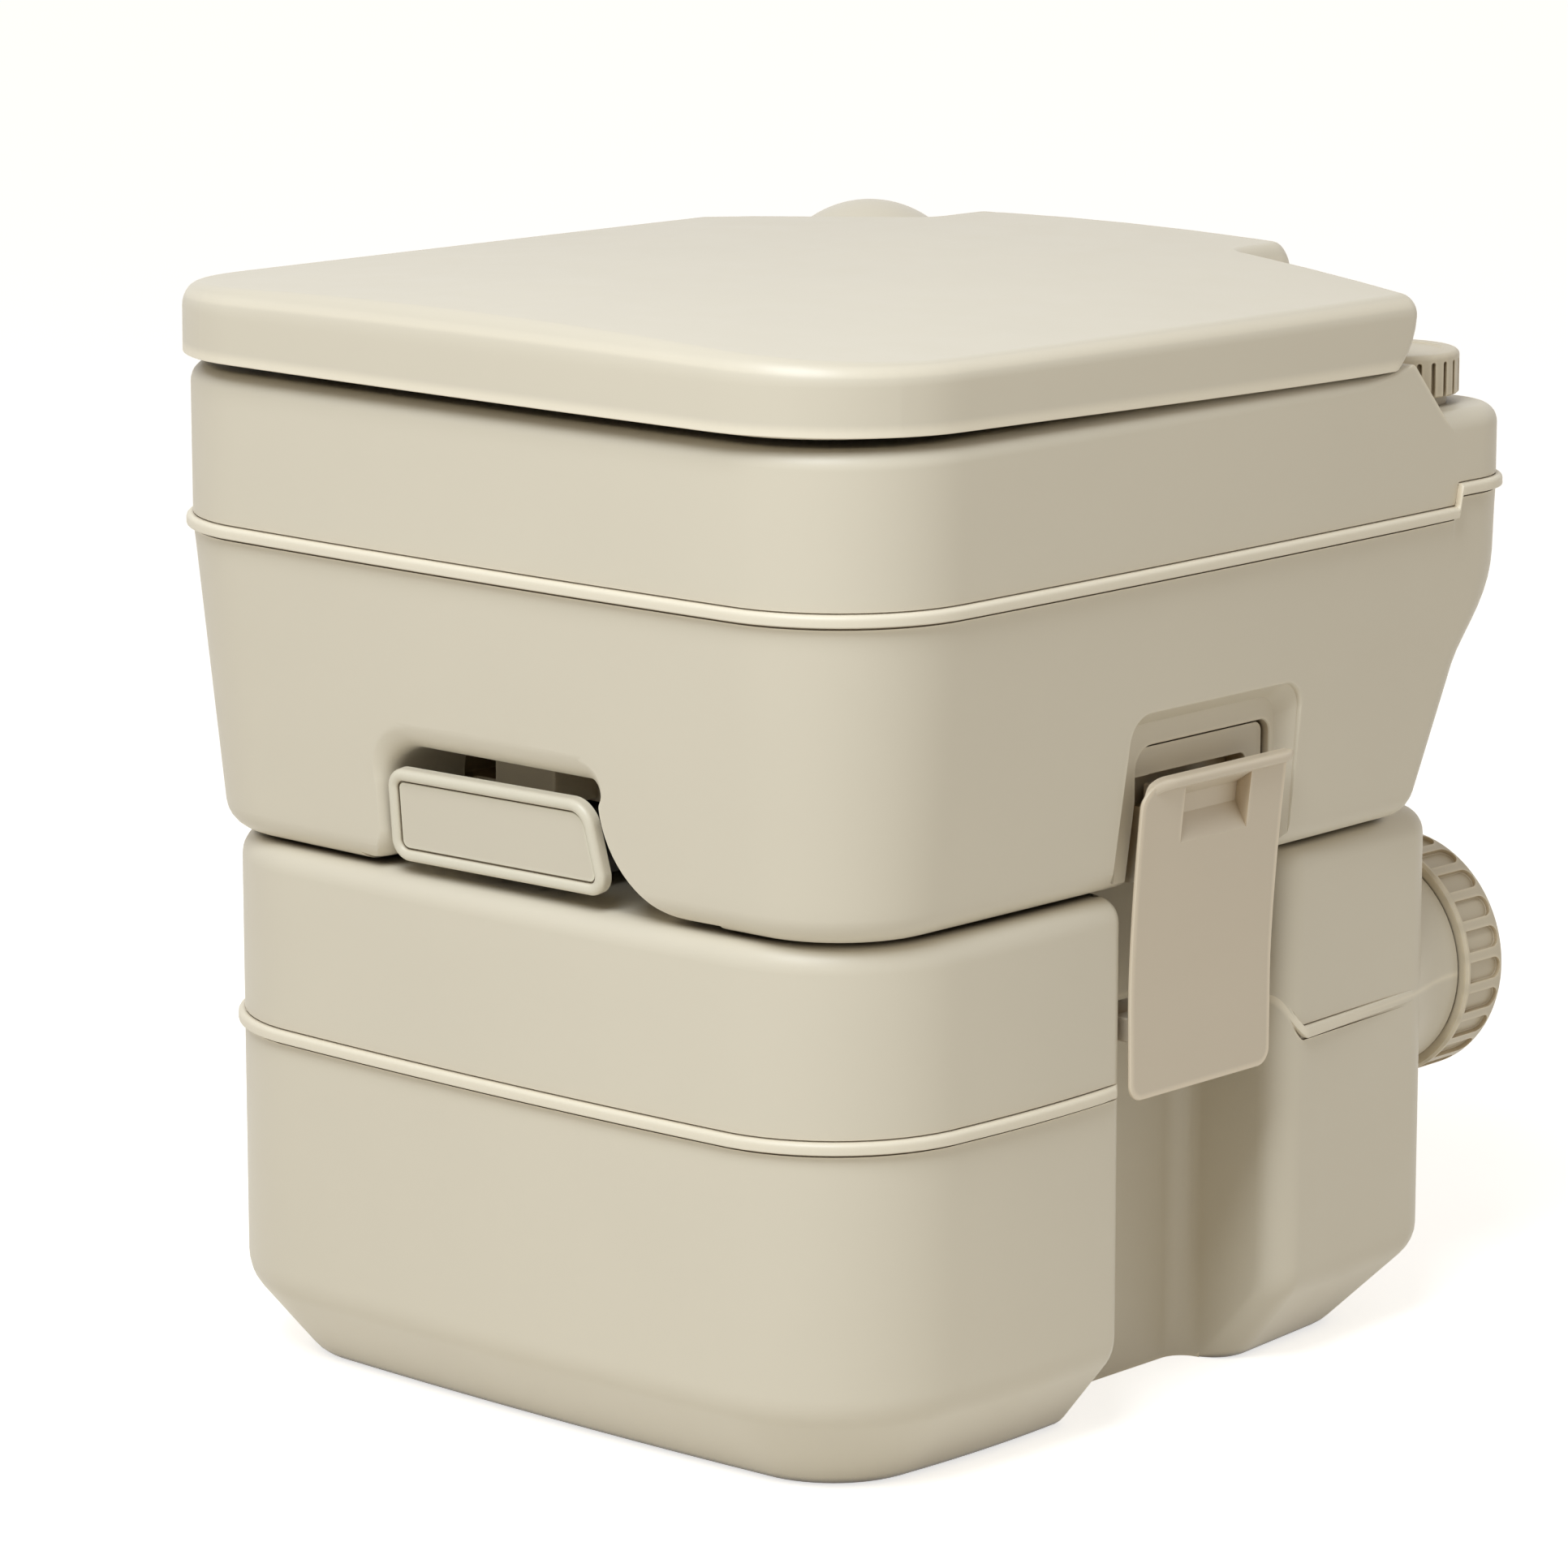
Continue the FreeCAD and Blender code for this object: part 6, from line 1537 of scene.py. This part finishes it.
# Screw caps of the filler and the pour-out neck
# Both are turned-looking mouldings of ivory plastic. The filler's has narrow slots round its rim, the
# pour-out cap has round-ended hollows that leave ribs for the grip.
CAP_SHADE = (0.88, 0.85, 0.80)
CAP_IVORY = [c * f for c, f in zip(IVORY, CAP_SHADE)]
CAP_ROUGHNESS = 0.42
CAP_POINTS = 144
SLOT_BEYOND = 0.004
SLOT_ROUND = 0.98
FILL_CAP_RADIUS = 0.026
FILL_CAP_LOW, FILL_CAP_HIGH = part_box("fill_cap")[0].z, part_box("fill_cap")[1].z
FILL_CAP_EDGE = 0.0022
FILL_CAP_WALL = 0.004
FILL_CAP_HOLLOW = 0.006
FILL_FOOT_EDGE = 0.0006
FILL_FACE = 0.006
FILL_FACE_RUN = 0.0008
FILL_FACE_SINK = 0.0006
FILL_SLOTS = 26
FILL_SLOT_HALF = 0.0010
FILL_SLOT_LOW = 0.002
FILL_SLOT_TOP = 0.0030
FILL_SLOT_DEPTH = 0.0020
FILL_SLOT_EDGE = 0.0002
FILL_SKIRT = 0.0022
SPOUT_RADIUS = 0.0470
SPOUT_TAPER = 0.0002
SPOUT_START, SPOUT_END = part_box("spout_cap")[0].y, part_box("spout_cap")[1].y
SPOUT_LONG = SPOUT_END - SPOUT_START
SPOUT_EDGE = 0.0028
SPOUT_FOOT_EDGE = 0.0010
SPOUT_HOLLOW = 0.012
SPOUT_BORE_GAP = 0.0005
SPOUT_FACE = 0.012
SPOUT_FACE_SINK = 0.001
SPOUT_SLOTS = 24
SPOUT_SLOT_HALF = 0.0041
SPOUT_SLOT_LOW = 0.0022
SPOUT_SLOT_HIGH = 0.0212
SPOUT_SLOT_DEPTH = 0.0022
SPOUT_SLOT_EDGE = 0.0003


def slot_ring(name, radius, count, half, low, high, depth, edge):
    """Round-ended slots set round a rim, as one cutting tool."""
    slot_plan = four_corners(-half, low, half, high, 0, half * SLOT_ROUND)
    floor = radius - depth
    steps = [(-edge, floor), (0, floor + edge), (0, radius - edge), (edge, radius)]
    tool = raised(name, walls(slot_plan, steps + [(edge, radius + SLOT_BEYOND)]))
    tool.data.transform(STAND_SIDE)
    bpy.ops.object.select_all(action="DESELECT")
    for k in range(1, count):
        copy = bpy.data.objects.new(name, tool.data.copy())
        bpy.context.scene.collection.objects.link(copy)
        copy.data.transform(Matrix.Rotation(2 * math.pi * k / count, 4, "Z"))
        copy.select_set(True)
    tool.select_set(True)
    bpy.context.view_layer.objects.active = tool
    bpy.ops.object.join()
    return tool


fill_foot = FILL_CAP_LOW - FILL_SKIRT
fill_shoulder = FILL_CAP_HIGH - FILL_CAP_EDGE
fill_steps = [(-FILL_CAP_WALL, FILL_CAP_LOW + FILL_CAP_HOLLOW), (-FILL_CAP_WALL, fill_foot)]
fill_steps += [(-FILL_FOOT_EDGE, fill_foot), (0, fill_foot + FILL_FOOT_EDGE), (0, fill_shoulder)]
fill_steps += bend_in(0, fill_shoulder, -FILL_CAP_EDGE, FILL_CAP_EDGE, 6)
fill_steps += [(-FILL_FACE, FILL_CAP_HIGH), (-FILL_FACE - FILL_FACE_RUN, FILL_CAP_HIGH - FILL_FACE_SINK)]
fill_cap = raised("fill_cap_turned", walls(round_plan(FILL_CAP_RADIUS, CAP_POINTS), fill_steps))
combine(fill_cap, slot_ring(
    "fill_slots", FILL_CAP_RADIUS, FILL_SLOTS, FILL_SLOT_HALF, fill_foot - FILL_SLOT_LOW,
    FILL_CAP_HIGH - FILL_SLOT_TOP, FILL_SLOT_DEPTH, FILL_SLOT_EDGE,
))
fill_cap.data.transform(Matrix.Translation((FILL_PLACE_X, FILL_PLACE_Y, 0)))
cap_finish = moulded_plastic("ivory_cap", CAP_IVORY, CAP_ROUGHNESS)
finish_piece(fill_cap, cap_finish, "fill_cap", ["fill_cap"])

spout_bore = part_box("spout_gasket")[1].x - NECK_X + SPOUT_BORE_GAP - SPOUT_RADIUS
spout_shoulder = SPOUT_LONG - SPOUT_EDGE
spout_steps = [(spout_bore, SPOUT_HOLLOW), (spout_bore, 0), (-SPOUT_FOOT_EDGE, 0), (0, SPOUT_FOOT_EDGE)]
spout_steps += [(-SPOUT_TAPER, spout_shoulder)]
spout_steps += bend_in(-SPOUT_TAPER, spout_shoulder, -SPOUT_EDGE, SPOUT_EDGE, 7)
spout_steps += [(-SPOUT_FACE, SPOUT_LONG), (-SPOUT_FACE - SPOUT_FACE_SINK, SPOUT_LONG - SPOUT_FACE_SINK)]
spout_cap = raised("spout_cap_turned", walls(round_plan(SPOUT_RADIUS, CAP_POINTS), spout_steps))
combine(spout_cap, slot_ring(
    "spout_slots", SPOUT_RADIUS, SPOUT_SLOTS, SPOUT_SLOT_HALF, SPOUT_SLOT_LOW,
    SPOUT_SLOT_HIGH, SPOUT_SLOT_DEPTH, SPOUT_SLOT_EDGE,
))
spout_place = Matrix.Translation((NECK_X, SPOUT_START, TANK_SEAM))
spout_cap.data.transform(spout_place @ Matrix.Rotation(-math.pi / 2, 4, "X"))
finish_piece(spout_cap, cap_finish, "spout_cap", ["spout_cap"])


# Bellows flush pump
# A domed knob of ivory plastic on soft rubber bellows that a collar holds in the shelf. Below the shelf are
# the pump's body, a rubber flap valve, a dip tube and the hose to the nozzle in the bowl.
PUMP_X = -0.124
PUMP_Y = 0.1715
KNOB_RADIUS = 0.028
KNOB_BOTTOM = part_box("pump_knob")[0].z
KNOB_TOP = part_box("pump_knob")[1].z
KNOB_RIM = 0.3983
KNOB_FLAT = 0.0008
KNOB_WALL = 0.004
KNOB_EDGE = 0.001
KNOB_ROWS = 12
KNOB_ROUGHNESS = 0.36
BELLOWS_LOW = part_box("pump_bellows")[0].z
BELLOWS_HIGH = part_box("pump_bellows")[1].z
BELLOWS_CUFF = 0.006
BELLOWS_WAIST = 0.0138
BELLOWS_WIDE = 0.0185
BELLOWS_FOLDS = 4
FOLD_STEPS = 8
FOLD_POINTS = 72
BELLOWS_BLACK = (0.030, 0.030, 0.031)
BELLOWS_ROUGHNESS = 0.62
BELLOWS_GRAIN = 0.00006
BELLOWS_CLOUD = 0.12
BELLOWS_SMOOTH = 60
COLLAR_RADIUS = 0.0235
COLLAR_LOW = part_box("pump_collar")[0].z
COLLAR_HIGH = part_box("pump_collar")[1].z
COLLAR_EDGE = 0.0015
COLLAR_TOP_WALL = 0.001
COLLAR_POINTS = 96
COLLAR_GAP = 0.0004
COLLAR_SLOTS = 18
COLLAR_SLOT_HALF = 0.0012
COLLAR_SLOT_LOW = 0.002
COLLAR_SLOT_TOP = 0.0018
COLLAR_SLOT_DEPTH = 0.0009
COLLAR_SLOT_EDGE = 0.0002
TUBE_MILK = (0.80, 0.82, 0.80)
TUBE_SHADES = (0.9, 1)
TUBE_MARKS = 120
TUBE_DETAIL = 2
TUBE_GLOSS = (0.16, 0.30)
TUBE_CLEAR = {"Transmission Weight": 0.55, "IOR": 1.43}
NOZZLE_ROUGHNESS = 0.40

pump_place = Matrix.Translation((PUMP_X, PUMP_Y, 0))
dome_rise = KNOB_TOP - KNOB_RIM
dome_sphere = (KNOB_RADIUS ** 2 + dome_rise ** 2) / (2 * dome_rise)
dome_radii = [KNOB_RADIUS * (1 - k / KNOB_ROWS) for k in range(1, KNOB_ROWS)] + [KNOB_FLAT]
knob_steps = [(-KNOB_WALL, KNOB_RIM), (-KNOB_WALL, KNOB_BOTTOM), (-KNOB_EDGE, KNOB_BOTTOM)]
knob_steps += [(0, KNOB_BOTTOM + KNOB_EDGE), (0, KNOB_RIM)]
knob_steps += [
    (radius - KNOB_RADIUS, KNOB_TOP - dome_sphere + math.sqrt(dome_sphere ** 2 - radius ** 2))
    for radius in dome_radii
]
knob = raised("pump_knob_dome", walls(round_plan(KNOB_RADIUS, CAP_POINTS), knob_steps))
knob.data.transform(pump_place)
knob_finish = moulded_plastic("ivory_knob", IVORY, KNOB_ROUGHNESS)
finish_piece(knob, knob_finish, "pump_knob", ["pump_knob"])

fold_deep = BELLOWS_WIDE - BELLOWS_WAIST
fold_levels = rows(BELLOWS_LOW + BELLOWS_CUFF, BELLOWS_HIGH, BELLOWS_FOLDS * FOLD_STEPS)
fold_steps = [(0, BELLOWS_LOW)] + [
    (fold_deep * (0.5 - 0.5 * math.cos(2 * math.pi * k / FOLD_STEPS)), level)
    for k, level in enumerate(fold_levels)
]
bellows = raised("pump_bellows_soft", walls(round_plan(BELLOWS_WAIST, FOLD_POINTS), fold_steps))
bellows.data.transform(pump_place)
bellows_finish = moulded_plastic(
    "soft_black_rubber", BELLOWS_BLACK, BELLOWS_ROUGHNESS, BELLOWS_GRAIN, BELLOWS_CLOUD,
)
finish_piece(bellows, bellows_finish, "root", ["pump_bellows"], BELLOWS_SMOOTH)
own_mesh(bellows)

collar_bore = BELLOWS_WAIST + COLLAR_GAP - COLLAR_RADIUS
collar_shoulder = COLLAR_HIGH - COLLAR_EDGE
collar_steps = [(collar_bore, COLLAR_HIGH - COLLAR_TOP_WALL), (collar_bore, COLLAR_LOW)]
collar_steps += [(0, COLLAR_LOW), (0, collar_shoulder)]
collar_steps += bend_in(0, collar_shoulder, -COLLAR_EDGE, COLLAR_EDGE, 4)
collar = raised("pump_collar_ring", walls(round_plan(COLLAR_RADIUS, COLLAR_POINTS), collar_steps))
combine(collar, slot_ring(
    "collar_slots", COLLAR_RADIUS, COLLAR_SLOTS, COLLAR_SLOT_HALF, COLLAR_LOW - COLLAR_SLOT_LOW,
    COLLAR_HIGH - COLLAR_SLOT_TOP, COLLAR_SLOT_DEPTH, COLLAR_SLOT_EDGE,
))
collar.data.transform(pump_place)
finish_piece(collar, cap_finish, "root", ["pump_collar"])
tube_finish = marked_finish(
    "milky_tube", TUBE_MILK, TUBE_SHADES, TUBE_MARKS, TUBE_DETAIL, TUBE_GLOSS, TUBE_CLEAR,
)
dress(valve_finish, "pump_body")
dress(rubber_finish, "pump_check_valve")
dress(tube_finish, "pickup_tube", "flush_hose")
dress(moulded_plastic("ivory_nozzle", CAP_IVORY, NOZZLE_ROUGHNESS), "spray_nozzle")
